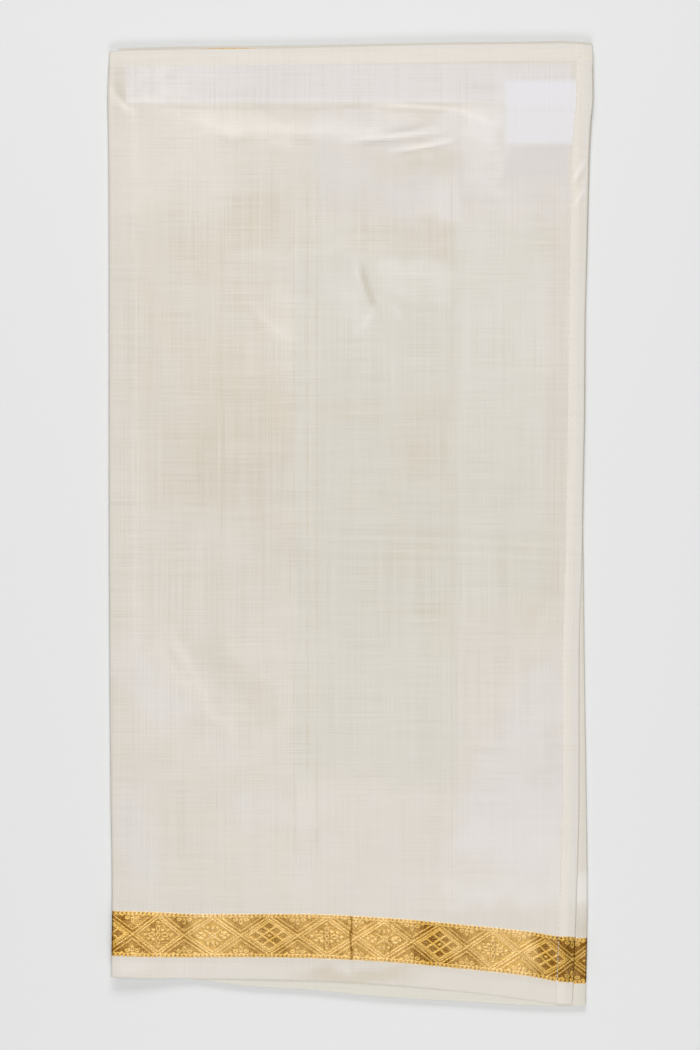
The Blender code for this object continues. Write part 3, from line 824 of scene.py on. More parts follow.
def front_rim(x, y):
    """The thin shaded line along the front panel's edges, deepest down its free end."""
    right = side("right")(y)
    overlap = smooth((right - side("under_right")(y) - OVERLAP_FROM) / OVERLAP_OVER)
    rim = near(right - x, FREE_RIM_REACH) * (FREE_RIM + FREE_RIM_OVERLAP * overlap)
    rim *= 1 - RIM_WAIST * smooth((y - RIM_WAIST_FROM) / RIM_WAIST_OVER)
    rim += rim_line(x - side("left")(y), LEFT_RIM)
    rim += rim_line(y - edge("low")(x), LOW_RIM) + rim_line(edge("top")(x) - y, TOP_RIM)
    return np.clip(rim, 0, 1)


def tape_tones(x, y, tape):
    """The crumpled look of the tape through the silk as painted highlights, and the painted
    highlight along its lower edge.
    """
    crumple = 0.5 + 0.5 * uneven(x, y, CRUMPLE_SIZE, seed=11)
    tone = CRUMPLE_TONE * crumple * near(x - CRUMPLE_FROM, CRUMPLE_OVER)
    tone -= TAPE_GREY * bell(x - TAPE_GREY_X, TAPE_GREY_REACH)
    tone += TAPE_LINE * bell(y - TAPE_LOW[1] - TAPE_LINE_UP, TAPE_LINE_REACH)
    return tone * tape


def tape_foot(x, y):
    """The broken tan line of painted shade where the silk comes down from the tape, clearest on
    the left.
    """
    line = TAPE_LOW[1] - FOOT_DOWN + FOOT_WANDER * uneven(x, y, FOOT_WANDER_SIZE, seed=12)
    broken = 1 + FOOT_BREAK * (uneven(x, np.zeros_like(y), FOOT_BREAK_SIZE, seed=13) - 1)
    return FOOT_TONE * broken * bell(y - line, FOOT_REACH) * in_area(x, y, FOOT_AREA)


def plaid_shown(y, warm, tape, label, on_field):
    """How strongly the plaid of the layers' threads shows."""
    plaid = np.clip(PLAID + PLAID_WARM * warm, PLAID_LEAST, PLAID_MOST)
    plaid *= (1 + PLAID_TAPE * tape) * (1 - PLAID_LABEL * label)
    plaid = np.where(on_field, plaid, PLAID_HEM)
    plaid *= PLAID_SELVEDGE + (1 - PLAID_SELVEDGE) * smooth((y - PLAID_FROM) / PLAID_OVER)
    return plaid * (1 - PLAID_LOW * near(y - PLAID_LOW_FROM, PLAID_LOW_OVER))


def paint_silk(piece, x, y):
    """Tones of the sheer silk with its painted highlights and shade, and how much of the tape and
    the label show through it.
    """
    zari_low = edge("zari_low")(x)
    in_from_end = side("right")(y) - END_HEM - x
    on_field = (in_from_end > -TOUCH) * (y < edge("waist_low")(x) + TOUCH)
    label_low = (LABEL_LOW[0], LABEL_LOW[1] - LABEL_LOWER)
    label_high = (LABEL_HIGH[0] + LABEL_FURTHER, LABEL_HIGH[1])
    tape = in_area(x, y, Area(TAPE_LOW, TAPE_HIGH, TAPE_SOFT)) * on_field
    label = in_area(x, y, Area(label_low, label_high, LABEL_SOFT)) * on_field
    bare = (1 - tape) * (1 - label) * on_field
    # Where the silk stands off it gets a painted highlight
    lifted = in_area(x, y, LIFTED_LOW) + in_area(x, y, LIFTED_HEM) * (1 - on_field)
    # The patches' tones hold painted highlights on puffed silk as well as the layers' tones
    tone = (patches(x, y, "tone") + MOTTLE_TONE * layered(x, y, MOTTLES, seed=5)) * bare
    # Painted highlights and shade along the creases
    tone += creases(x, y, "tone") + LIFTED_HIGHLIGHT * lifted
    # Painted highlights of the tape, less the painted shade at its foot
    tone += (tape_tones(x, y, tape) - tape_foot(x, y) * (1 - tape)) * (1 - label)
    tone -= SELVEDGE_TONE * near(zari_low - y, SELVEDGE_REACH) * (y < zari_low + TOUCH)
    warm = (patches(x, y, "warm") + WARM_WAVER * uneven(x, y, WARM_SIZE, seed=7)) * bare
    warm += LIFTED_WARM * lifted
    doubled = hem_shade(x, y)
    turned = (1 - on_field) * (1 - doubled) * smooth((y - TURNED_FROM) / TURNED_OVER)
    paint(piece, tone=np.clip(tone, TONE_LEAST, TONE_MOST), warm=warm,
          cast=patches(x, y, "cast") * bare, tape=tape, label=label, doubled=doubled,
          turned=turned, plaid=plaid_shown(y, warm, tape, label, on_field), rim=front_rim(x, y))


def paint_folded(piece, x, y):
    """The folded layers: plain silk with painted shade at the right fold and in a hollow, and
    painted light on a swell low down.
    """
    from_fold = side("under_right")(y) - x
    lit = in_area(x, y, UNDER_SWELL)
    paint(piece, tone=SWELL_TONE * lit + HOLLOW_SHADE * in_area(x, y, UNDER_HOLLOW),
          warm=UNDER_COOL * in_area(x, y, UNDER_STRIP) + SWELL_WARM * lit,
          plaid=np.full_like(x, UNDER_PLAID),
          rim=sum(rim_line(from_fold, rim) for rim in UNDER_RIMS))


# ---- making the sheets -----------------------------------------------------------------------

def grid_piece(name, columns, rows):
    """A grid with a vertex for each column and row, and each vertex's column and row."""
    bpy.ops.mesh.primitive_grid_add(x_subdivisions=columns - 1, y_subdivisions=rows - 1, size=1.0)
    piece = bpy.context.active_object
    piece.name = piece.data.name = name
    places = points_of(piece) + 0.5
    column = np.rint(places[:, 0] * (columns - 1)).astype(int)
    row = np.rint(places[:, 1] * (rows - 1)).astype(int)
    return piece, column, row


def points_of(piece):
    """The piece's points, in metres, one row each."""
    points = np.empty(len(piece.data.vertices) * 3, dtype=np.float32)
    piece.data.vertices.foreach_get("co", points)
    return points.reshape(-1, 3)


def move_points(piece, points):
    """Give the piece's points new places, in metres."""
    piece.data.vertices.foreach_set("co", points.astype(np.float32).ravel())
    piece.data.update()


def place_points(piece, x, y, z):
    """Lay the piece's points at places in millimetres."""
    move_points(piece, np.stack([x, y, z], axis=1) * MM)


def paint(piece, **numbers):
    """Store numbers for each point under their names, which the materials read."""
    for name, values in numbers.items():
        layer = piece.data.attributes.new(name, "FLOAT", "POINT")
        layer.data.foreach_set("value", np.asarray(values, dtype=np.float32))


def thicken(piece, thickness, offset=-1.0):
    """Give a sheet its wall, inwards from its outer face, and apply it."""
    bpy.context.view_layer.objects.active = piece
    wall = piece.modifiers.new("wall", "SOLIDIFY")
    wall.thickness = thickness * MM
    wall.offset = offset
    wall.use_even_offset = True
    bpy.ops.object.modifier_apply(modifier=wall.name)
    bpy.ops.object.shade_smooth_by_angle(angle=math.radians(SMOOTH_ANGLE))


def dress(piece, material, slot, *nodes):
    """Give a piece its material, attach it to the root and hide the nodes that it stands for; its
    slot is not used.
    """
    piece.data.materials.clear()
    piece.data.materials.append(material)
    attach(piece, "root")
    if nodes:
        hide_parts(*nodes)
    piece.select_set(False)
    return piece


def cross(share, shift, t, low, high, right="right"):
    """Where the columns and rows of a strip meet, between the left fold and a right-hand side."""
    x, y = np.zeros_like(share), np.zeros_like(share)
    for _ in range(ROUNDS):
        y = low(x) * (1 - t) + high(x) * t
        x = side("left")(y) * (1 - share) + side(right)(y) * share + shift
    return x, y


def fold_columns():
    """Shifts and drops of the columns of the flap and the round left fold."""
    turn = np.linspace(math.pi, 0.0, FOLD_STEPS + 1)
    shift = np.concatenate([[FLAP, FLAP_SECOND], FOLD_RADIUS * (1 - np.sin(turn))])
    drop = np.concatenate([[2 * FOLD_RADIUS] * 2, FOLD_RADIUS * (1 - np.cos(turn))])
    return shift, drop


def strip(name, low, high, rows, flat, end_shift=0.0):
    """A strip of the front panel between two edges, carried round the left fold.

    rows are shares of the way up, flat are shares of the way across.
    """
    fold_shift, fold_drop = fold_columns()
    share = np.concatenate([np.zeros(len(fold_shift) - 1), flat])
    shift = np.concatenate([fold_shift[:-1], FOLD_RADIUS * (1 - flat) + end_shift * flat])
    drop = np.concatenate([fold_drop[:-1], np.zeros_like(flat)])
    piece, column, row = grid_piece(name, len(share), len(rows))
    x, y = cross(share[column], shift[column], rows[row], low, high)
    turned = drop[column] > 0
    fold_line = side("left")(y) + FOLD_RADIUS
    place_points(piece, x, y, panel_top(np.where(turned, fold_line, x), y) - drop[column])
    return piece, x, y


def whole_width(step, hem_shares=HEM_SHARES):
    """Columns across the whole panel: the field at a step, then the hem and its rolled edge."""
    places = list(stations(WIDTH_FIRST, WIDTH_LAST - END_HEM, step))
    places += list(WIDTH_LAST - END_HEM * (1 - hem_shares[1:]))
    return shares(places, WIDTH_FIRST, WIDTH_LAST)


def field_rows():
    """Rows of the field and of the end hem beside it, as shares of the way up."""
    return shares(laid_out([ROWS_FIRST], ROW_RUNS), ROWS_FIRST, ROWS_LAST)


# ---- materials -------------------------------------------------------------------------------

def linear(hex_colour):
    """An sRGB hex colour as linear red, green, blue and alpha."""
    shares_of_full = [int(hex_colour[i:i + 2], 16) / 255 for i in (1, 3, 5)]
    linear_shares = [v / 12.92 if v <= 0.04045 else ((v + 0.055) / 1.055) ** 2.4
                     for v in shares_of_full]
    return (*linear_shares, 1.0)


def add_node(tree, kind, output, inputs=None, **settings):
    """Add a node with its settings, set or link its inputs, and give back one of its outputs.
    Inputs and the output are named, or numbered where two share a name."""
    node = tree.nodes.new("ShaderNode" + kind)
    for key, value in settings.items():
        setattr(node, key, value)
    for key, value in (inputs or {}).items():
        if isinstance(value, bpy.types.NodeSocket):
            tree.links.new(value, node.inputs[key])
        else:
            node.inputs[key].default_value = value
    return node.outputs[output] if output is not None else node


def new_material(name):
    """A material with an empty node tree."""
    material = bpy.data.materials.new(name)
    material.use_nodes = True
    tree = material.node_tree
    tree.nodes.clear()
    return material, tree


def streaks(tree, coords, noise):
    """Noise drawn out along one way of the cloth, its grains wide and tall in millimetres."""
    stretched = add_node(tree, "Mapping", "Vector", {
        "Vector": coords, "Location": (noise.shift, noise.shift, 0.0),
        "Scale": (1 / (noise.wide * MM), 1 / (noise.tall * MM), 0.0)})
    return add_node(tree, "TexNoise", "Fac", {
        "Vector": stretched, "Scale": 1.0, "Detail": noise.detail, "Roughness": 0.55})


def woven_threads(tree, coords):
    """Uneven warp and weft threads from about -1, dark, to 1, light. Each way fades in and out
    over the cloth as its layers' threads beat against each other."""
    total = 0.0
    middle = sum(thread.weight for thread in THREADS) / 2
    for way, shift in WAYS:
        drawn = 0.0
        for thread in THREADS:
            wide, tall = thread.gap, thread.run
            if way == "weft":
                wide, tall = thread.run * WEFT_RUN, thread.gap * WEFT_GAP
            line = streaks(tree, coords, Noise(wide, tall, THREAD_DETAIL, shift + thread.shift))
            drawn = add_node(tree, "Math", 0, {0: line, 1: thread.weight, 2: drawn},
                             operation="MULTIPLY_ADD")
        centred = add_node(tree, "Math", 0, {0: drawn, 1: middle}, operation="SUBTRACT")
        beat = streaks(tree, coords, BEAT._replace(shift=shift + BEAT.shift))
        fade = add_node(tree, "MapRange", "Result", {"Value": beat, **BEAT_FADE})
        total = add_node(tree, "Math", 0, {0: centred, 1: fade, 2: total},
                         operation="MULTIPLY_ADD")
    return add_node(tree, "Math", 0, {0: total, 1: THREAD_CONTRAST}, operation="MULTIPLY")


def dark_warps(tree, coords):
    """Dark single threads that run up the cloth, uneven along their length."""
    place = add_node(tree, "SeparateXYZ", None, {"Vector": coords})
    broken = add_node(tree, "MapRange", "Result", {
        "Value": streaks(tree, coords, BAR_BREAKS),
        "From Min": 0.38, "From Max": 0.6, "To Min": 0.25})
    total = 0.0
    for bar in BARS:
        off = add_node(tree, "Math", 0, {0: place.outputs["X"], 1: bar.x * MM},
                       operation="SUBTRACT")
        away = add_node(tree, "Math", 0, {0: off}, operation="ABSOLUTE")
        beside = add_node(tree, "MapRange", "Result", {
            "Value": away, "From Min": bar.reach * MM,
            "From Max": bar.reach * MM * BAR_MIDDLE, "To Max": bar.strength})
        start, end = (add_node(tree, "MapRange", "Result", {
            "Value": place.outputs["Y"], "From Min": limit * MM, "From Max": (limit + fade) * MM})
            for limit, fade in ((bar.low, BAR_FADE), (bar.high, -BAR_FADE)))
        length = add_node(tree, "Math", 0, {0: start, 1: end}, operation="MULTIPLY")
        total = add_node(tree, "Math", 0, {0: beside, 1: length, 2: total},
                         operation="MULTIPLY_ADD")
    return add_node(tree, "Math", 0, {0: total, 1: broken}, operation="MULTIPLY")


def tinted(tree, colour, tints):
    """Lay tints over a colour, each by how much of its own number is painted on the piece."""
    for tint in tints:
        part = add_node(tree, "Attribute", "Fac", attribute_name=tint.painted)
        amount = add_node(tree, "MapRange", "Result", {
            "Value": part, "From Max": tint.full, "To Max": tint.strength})
        colour = add_node(tree, "Mix", 2, {0: amount, 6: colour, 7: linear(tint.colour)},
                          data_type="RGBA")
    return colour


def silk_material(name, ground):
    """Plain-woven undyed silk. Fine uneven threads both ways give it a soft sheen, and where
    layers of it lie over each other their threads beat into a faint moire plaid."""
    material, tree = new_material(name)
    coords = add_node(tree, "TexCoord", "Object")
    threads = woven_threads(tree, coords)
    plaid = add_node(tree, "Attribute", "Fac", attribute_name="plaid")
    colour = tinted(tree, linear(ground), TINTS)
    colour = add_node(tree, "Mix", 2, {
        0: dark_warps(tree, coords), 6: colour, 7: linear(BAR_COLOUR)}, data_type="RGBA")
    for way, strength, thread_colour in THREAD_COLOURS:
        sided = add_node(tree, "MapRange", "Result", {
            "Value": threads, "From Max": way, "To Max": strength})
        amount = add_node(tree, "Math", 0, {0: sided, 1: plaid}, operation="MULTIPLY")
        colour = add_node(tree, "Mix", 2, {
            0: amount, 6: colour, 7: linear(thread_colour)}, data_type="RGBA")
    # Painted shade along the edges
    colour = tinted(tree, colour, EDGE_TINTS)
    gloss = add_node(tree, "MapRange", "Result", {
        "Value": threads, "From Min": -1.0,
        "To Min": SILK_ROUGH + ROUGH_CHANGE, "To Max": SILK_ROUGH - ROUGH_CHANGE})
    raised = add_node(tree, "Bump", "Normal", {
        "Height": threads, "Strength": 0.3, "Distance": WEAVE_DEEP})
    shader = add_node(tree, "BsdfPrincipled", "BSDF", {
        "Base Color": colour, "Roughness": gloss, "Specular IOR Level": 0.45,
        "Sheen Weight": 0.12, "Sheen Roughness": 0.4, "Normal": raised})
    add_node(tree, "OutputMaterial", None, {"Surface": shader})
    return material


def gilt_colour(tree, thread, glare, grain, bare):
    """Brown ground and golden floats, in painted shade or in full painted glare, grained, and bare
    silk's cream.
    """
    dull, bright = (add_node(tree, "Mix", 2, {
        0: thread, 6: linear(ground), 7: linear(float_colour)}, data_type="RGBA")
        for ground, float_colour in (ZARI_SHADED, ZARI_BRIGHT))
    colour = add_node(tree, "Mix", 2, {0: glare, 6: dull, 7: bright}, data_type="RGBA")
    for first, last, strength, grain_colour in ZARI_GRAINS:
        amount = add_node(tree, "MapRange", "Result", {
            "Value": grain, "From Min": first, "From Max": last, "To Max": strength})
        colour = add_node(tree, "Mix", 2, {
            0: amount, 6: colour, 7: linear(grain_colour)}, data_type="RGBA")
    return add_node(tree, "Mix", 2, {0: bare, 6: colour, 7: linear(ZARI_BARE)},
                    data_type="RGBA")


def zari_material():
    """Gilt metal thread woven as brocade: satin gloss, warm highlights on the raised floats and
    brown in the ground between them, lit by painted glare where the painted shine is high, with
    cream silk in the gaps of its toothed edges."""
    material, tree = new_material("gilt zari brocade")
    coords = add_node(tree, "TexCoord", "Object")
    thread, shine, bare = (add_node(tree, "Attribute", "Fac", attribute_name=name)
                           for name in ("thread", "shine", "bare"))
    floats, grains = (streaks(tree, coords, noise) for noise in (FLOATS, GRAINS))
    grain = add_node(tree, "Math", 0, {0: floats, 1: grains}, operation="ADD")
    blotches = streaks(tree, coords, GLARE_BLOTCHES)
    wander = add_node(tree, "MapRange", "Result", {
        "Value": blotches, "To Min": -0.5, "To Max": 0.5}, clamp=False)
    glare = add_node(tree, "Math", 0, {0: shine, 1: wander}, operation="ADD", use_clamp=True)
    colour = gilt_colour(tree, thread, glare, grain, bare)
    metal = add_node(tree, "MapRange", "Result", {"Value": bare, "To Min": 0.85, "To Max": 0.0})
    polish = add_node(tree, "MapRange", "Result", {
        "Value": grain, "From Min": 0.7, "From Max": 1.3, "To Min": 0.55, "To Max": 0.4})
    raised = add_node(tree, "Bump", "Normal", {
        "Height": grain, "Strength": 0.35, "Distance": WEAVE_DEEP})
    shader = add_node(tree, "BsdfPrincipled", "BSDF", {
        "Base Color": colour, "Metallic": metal, "Specular IOR Level": 0.3,
        "Roughness": polish, "Normal": raised})
    add_node(tree, "OutputMaterial", None, {"Surface": shader})
    return material


def woven_material(name, light, dark, spacing, roughness):
    """A close weave of white yarn, smooth or matt, its yarns drawn at the given spacing."""
    material, tree = new_material(name)
    coords = add_node(tree, "TexCoord", "Object")
    warp = streaks(tree, coords, Noise(spacing, spacing * YARN_RUN))
    weft = streaks(tree, coords, Noise(spacing * YARN_RUN, spacing, shift=YARN_SHIFT))
    crossed = add_node(tree, "Math", 0, {0: warp, 1: weft}, operation="ADD")
    yarn = add_node(tree, "MapRange", "Result", {
        "Value": crossed, "From Min": 0.8, "From Max": 1.2})
    colour = add_node(tree, "Mix", 2, {0: yarn, 6: linear(dark), 7: linear(light)},
                      data_type="RGBA")
    raised = add_node(tree, "Bump", "Normal", {
        "Height": yarn, "Strength": 0.4, "Distance": WEAVE_DEEP})
    shader = add_node(tree, "BsdfPrincipled", "BSDF", {
        "Base Color": colour, "Roughness": roughness, "Normal": raised})
    add_node(tree, "OutputMaterial", None, {"Surface": shader})
    return material


# ---- the front panel's pieces ----------------------------------------------------------------

def finish_silk(piece, x, y, material, slot, node):
    """Paint a silk piece of the front panel and give it its wall and its material."""
    paint_silk(piece, x, y)
    thicken(piece, SILK)
    return dress(piece, material, slot, node)


def make_field(material):
    """The plain field between the gold band and the waist hem, the left fold and the end hem."""
    across = shares(laid_out(FOLD_COLUMNS, FIELD_RUNS), FIELD_FIRST, FIELD_LAST)
    low, high = edge("zari_high"), edge("waist_low")
    piece, x, y = strip("front_silk", low, high, field_rows(), across, end_shift=-END_HEM)
    return finish_silk(piece, x, y, material, "silk_field", "front_field")


def make_end_hem(material):
    """The turned end of the cloth, from its stitch line to its rolled free edge."""
    shift, rows = -END_HEM * (1 - HEM_SHARES), field_rows()
    piece, column, row = grid_piece("end_hem_turned", len(HEM_SHARES), len(rows))
    low, high = edge("zari_high"), edge("waist_low")
    x, y = cross(np.ones(len(column)), shift[column], rows[row], low, high)
    place_points(piece, x, y, panel_top(x, y))
    return finish_silk(piece, x, y, material, "silk_hem", "end_hem")


def make_waist_hem(material):
    """The turned upper edge, right across the cloth, from its stitch line to its rolled top."""
    low, high = edge("waist_low"), edge("top")
    piece, x, y = strip("waist_hem_turned", low, high, WAIST_ROWS, whole_width(SILK_STEP))
    return finish_silk(piece, x, y, material, "silk_hem", "waist_hem")


def make_selvedge(material):
    """The plain strip under the gold band."""
    low, high = edge("low"), edge("zari_low")
    piece, x, y = strip("selvedge_silk", low, high, SELVEDGE_ROWS, whole_width(SILK_STEP))
    return finish_silk(piece, x, y, material, "silk_selvedge", "selvedge")


# ---- the gold band ---------------------------------------------------------------------------

def line_at(distance, centre, width):
    """1 on a line at a distance, with a soft edge."""
    return inside(np.abs(distance - centre) - width / 2, LINE_SOFT)


def spots(x, y, table):
    """The light and dark oval spots of a filling, summed, with soft edges."""
    total = 0.0
    for spot in table:
        out = np.hypot((x - spot.x) / spot.wide, (y - spot.y) / spot.tall)
        total = total + spot.light * inside((out - 1.0) * min(spot.wide, spot.tall), SPOT_SOFT)
    return total


def grid_filling(across, rise):
    """Nine small dark lozenges in three rows, with light lines between them."""
    first, second = (across + rise) * GRID_ACROSS, (across - rise) * GRID_ACROSS
    to_line = np.minimum(np.abs(first - np.rint(first - 0.5) - 0.5),
                         np.abs(second - np.rint(second - 0.5) - 0.5))
    heart = np.maximum(np.abs(first), np.abs(second)) < GRID_HEART
    return np.clip(near(to_line - GRID_LINE, GRID_SOFT) + heart, 0, 1)


def flower_filling(x, y):
    """A four-petalled flower with leaves between the petals and buds at its tips."""
    x, y = np.abs(x), np.abs(y)
    return np.clip(line_at(np.hypot(x, y), *FLOWER_HEART) + spots(x, y, FLOWER), 0, 1)


def star_filling(x, y):
    """A star of crossed stems round a ring, with leaves along them."""
    x, y = np.abs(x), np.abs(y)
    from_stem = np.abs(x * STEM_SLOPE - y) / STEM_LENGTH
    stems = line_at(from_stem, 0.0, STEM_WIDE) * (np.hypot(x, y) < STEM_OUT)
    ring = line_at(np.hypot(x, y / STAR_FLAT), *STAR_RING)
    return np.clip(stems + ring + spots(x, y, STAR), 0, 1)


def corner_filling(x, y):
    """Three petals and buds in the gap between two lozenges."""
    return np.clip(spots(np.abs(x), y, CORNER), 0, 1)


def toothed(x, up, light):
    """Lay the teeth and the line inside them over the figure, and find the bare silk there."""
    from_edge = np.minimum(up, BAND_HEIGHT - up)
    in_tooth = np.abs((x / TOOTH) % 1.0 - 0.5) * TOOTH
    tooth = 1.0 - inside(in_tooth - TOOTH_BAR / 2, TOOTH_SOFT)
    light = np.where(from_edge < TOOTH_TALL, tooth, light)
    light = np.maximum(light, line_at(from_edge, TOOTH_TALL + TOOTH_LINE_IN, TOOTH_LINE))
    swing = np.abs(np.sin(x * FAST_SWING) * np.sin(x * SLOW_SWING + 1.0))
    ragged = RAGGED + RAGGED_MORE * swing
    deep = np.where(tooth < 0.5, ragged + GAP_DEEPER, ragged * TOOTH_SHARE)
    return np.clip(light, 0, 1), (from_edge < deep).astype(float)


def zari_figure(x, up):
    """How light the brocade is: x across the cloth, up from the band's lower edge. Also 1 where
    bare silk shows at its toothed edges."""
    crossings = np.array(CROSSINGS)
    index = np.clip(np.searchsorted(crossings, x, side="right") - 1, 0, len(FILLINGS) - 1)
    between = (x - crossings[index]) / (crossings[index + 1] - crossings[index])
    half_wide, half_tall = LOZENGE_WIDE / 2, LOZENGE_TALL / 2
    across, rise = between * 2 - 1, (up - BAND_HEIGHT / 2) / half_tall
    scale = half_wide * half_tall / math.hypot(half_wide, half_tall)
    out = (np.abs(across) + np.abs(rise) - 1) * scale
    from_middle, above_middle = across * half_wide, rise * half_tall
    fillings = {
        "grid": grid_filling(across, rise),
        "flower": flower_filling(from_middle, above_middle),
        "star": star_filling(from_middle, above_middle),
    }
    filling = np.zeros_like(x)
    for number, kind in enumerate(FILLINGS):
        filling = np.where(index == number, fillings[kind], filling)
    light = np.where(out < FILLING_IN, filling, 0.0)
    light = light + sum(line_at(out, at, width) for at, width in OUTLINES)
    corner = corner_filling((1 - np.abs(across)) * half_wide, half_tall - np.abs(above_middle))
    return toothed(x, up, np.where(out > CORNER_OUT, corner, light))


def brocade(piece, x, up, relief, shade_mask=0.0):
    """Raise the figure's floats where relief is 1, and paint its threads and its painted glare,
    both darkened by painted shade where the last argument is 1."""
    light, bare = zari_figure(x, up)
    points = points_of(piece)
    points[:, 2] += BAND_RELIEF * light * relief * (1 - bare) * MM
    move_points(piece, points)
    waver = SHINE_WAVER * np.sin(x / WAVER_ACROSS + up / WAVER_UP)
    shine = read(GLINTS, "x", "shine", x) + waver
    paint(piece, thread=light * (1 - SHADE_DARKENS_FLOATS * shade_mask), shine=np.clip(shine, 0, 1) * (1 - shade_mask),
          bare=bare)


def shaded_gold(x, up, from_end):
    """Where painted shade darkens the gold: a wavering crease near the middle, a fold line further
    on, and the free end."""
    crease_shade_reach = GOLD_CREASE_REACH + GOLD_CREASE_WIDENS * np.sin(up / WIDENS_UP)
    # The crease near the middle, in painted shade
    join = bell(x - GOLD_CREASE_X - GOLD_CREASE_SWAY * np.sin(up / SWAY_UP), crease_shade_reach)
    line = LINE_SHADE * bell(x - LINE_X, LINE_REACH)
    return np.maximum(np.maximum(join, line), END_SHADE * near(from_end, END_SHADE_REACH))


def make_zari(material):
    """The woven gold band, right across the front, its figure raised on the outer face only."""
    across = whole_width(BAND_STEP, BAND_HEM_SHARES)
    piece, x, y = strip("zari_band", edge("zari_low"), edge("zari_high"), BAND_ROWS, across)
    low, high = edge("zari_low")(x), edge("zari_high")(x)
    up = (y - low) / (high - low) * BAND_HEIGHT
    on_top = x > side("left")(y) + FOLD_RADIUS * RELIEF_FROM
    above_flap = points_of(piece)[:, 2] / MM > PANEL_TOP - FOLD_RADIUS
    brocade(piece, x, up, on_top * above_flap, shaded_gold(x, up, side("right")(y) - x))
    thicken(piece, SILK)
    return dress(piece, material, "zari", "zari_border")


def make_glimpse(material):
    """A gilt thread of the folded-in selvedge, seen as a sliver over the panel's top edge."""
    piece, column, row = grid_piece("gilt_thread_glimpse", GLIMPSE_COLUMNS, GLIMPSE_ROWS)
    along, up = column / (GLIMPSE_COLUMNS - 1), row / (GLIMPSE_ROWS - 1)
    x = GLIMPSE_FIRST + (GLIMPSE_LAST - GLIMPSE_FIRST) * along
    shown = GLIMPSE_SHOWS * np.sin(math.pi * along) ** GLIMPSE_BLUNT
    y = edge("top")(x) - GLIMPSE_DEEP + (GLIMPSE_DEEP + shown) * up
    place_points(piece, x, y, np.full_like(x, STACK_TOP + GLIMPSE_THICK))
    shine = np.full_like(x, GLIMPSE_SHINE)
    paint(piece, thread=shine, shine=shine, bare=np.zeros_like(x))
    thicken(piece, GLIMPSE_THICK)
    return dress(piece, material, "zari")


# ---- the hidden layers -----------------------------------------------------------------------

def stack_path(step):
    """The hidden layers' path: share of the way from the left fold to the right one, shift from
    there, height, and how far the cut edges stand back. The step of the part that shows by the
    right fold may be finer, for the gold band."""
    share, shift, height, back = [], [], [], []

    def run(first, last, first_shift, last_shift, count, z, stand):
        share.extend(np.linspace(first, last, count))
        shift.extend(np.linspace(first_shift, last_shift, count))
        height.extend([z] * count)
        back.extend([stand] * count)

    def turn(at, way, fold, z_from, z_to, stand_from, stand_to):
        radius = (z_from - z_to) / 2
        for k in range(1, FOLD_STEPS):
            angle = math.pi * k / FOLD_STEPS
            share.append(at)
            shift.append(fold + way * radius * (math.sin(angle) - 1))
            height.append(z_to + radius + radius * math.cos(angle))
            back.append(stand_from + (stand_to - stand_from) * k / FOLD_STEPS)

    right, left = -UNDER_SILK / 2, UNDER_SILK / 2 + LEFT_FOLD_IN
    at_right = right - (SECOND_Z - THIRD_Z) / 2
    at_left = left + (THIRD_Z - FOURTH_Z) / 2
    hidden = at_right - SHOWN
    run(0.0, 1.0, FLAP + UPPER_END_IN, hidden, SECOND_COLUMNS, SECOND_Z, 0.0)
    run(1.0, 1.0, hidden + step, at_right, round(SHOWN / step), SECOND_Z, 0.0)
    turn(1.0, 1.0, right, SECOND_Z, THIRD_Z, 0.0, THIRD_BACK)
    run(1.0, 0.0, at_right, at_left, UNDER_COLUMNS, THIRD_Z, THIRD_BACK)
    turn(0.0, -1.0, left, THIRD_Z, FOURTH_Z, THIRD_BACK, FOURTH_BACK)
    run(0.0, 1.0, at_left, -LOWER_END_IN, UNDER_COLUMNS, FOURTH_Z, FOURTH_BACK)
    return [np.array(values) for values in (share, shift, height, back)]


def layer_piece(name, low, high, rows, step):
    """A strip of the folded layers between two heights over their lower edge, or up to their top
    edge where high is None."""
    path = stack_path(step)
    piece, column, row = grid_piece(name, len(path[0]), len(rows))
    share, shift, height, back = [values[column] for values in path]

    def low_edge(up):
        return lambda x: (edge("under_low", up)(x)
                          + back * (1 + BACK_WANDER * np.sin(x / BACK_WAVE + back)))

    def top_edge(x):
        less = TOP_LESS * smooth((x - TOP_LESS_FROM) / TOP_LESS_OVER)
        return edge("top", TOP_SHOWS)(x) - less - back

    upper = top_edge if high is None else low_edge(high)
    x, y = cross(share, shift, rows[row], low_edge(low), upper, "under_right")
    place_points(piece, x, y, height)
    return piece, x, y, rows[row]


def finish_folded(piece, x, y, material):
    """Paint a silk piece of the folded layers and give it its wall and its material."""
    paint_folded(piece, x, y)
    thicken(piece, UNDER_SILK, offset=0.0)
    return dress(piece, material, "silk_under", "inner_folds")


def make_layers(silk, edge_silk, zari):
    """The three hidden layers: one sheet folded at the right, then at the left, woven as silk
    above the gold band, the band itself, and the selvedge below it."""
    band_top = UNDER_SELVEDGE + UNDER_BAND
    layers, x, y, _ = layer_piece("folded_layers", band_top, None, UNDER_ROWS, UNDER_STEP)
    finish_folded(layers, x, y, silk)

    band, x, _, t = layer_piece("folded_zari", UNDER_SELVEDGE, band_top, BAND_ROWS, BAND_STEP)
    brocade(band, x, t * BAND_HEIGHT, 0.0)
    thicken(band, UNDER_SILK, offset=0.0)
    dress(band, zari, "zari", "inner_folds")

    rows = UNDER_SELVEDGE_ROWS
    selvedge, x, y, _ = layer_piece("folded_selvedge", 0.0, UNDER_SELVEDGE, rows, UNDER_STEP)
    finish_folded(selvedge, x, y, edge_silk)
    return layers, band, selvedge


# ---- the sewing ------------------------------------------------------------------------------

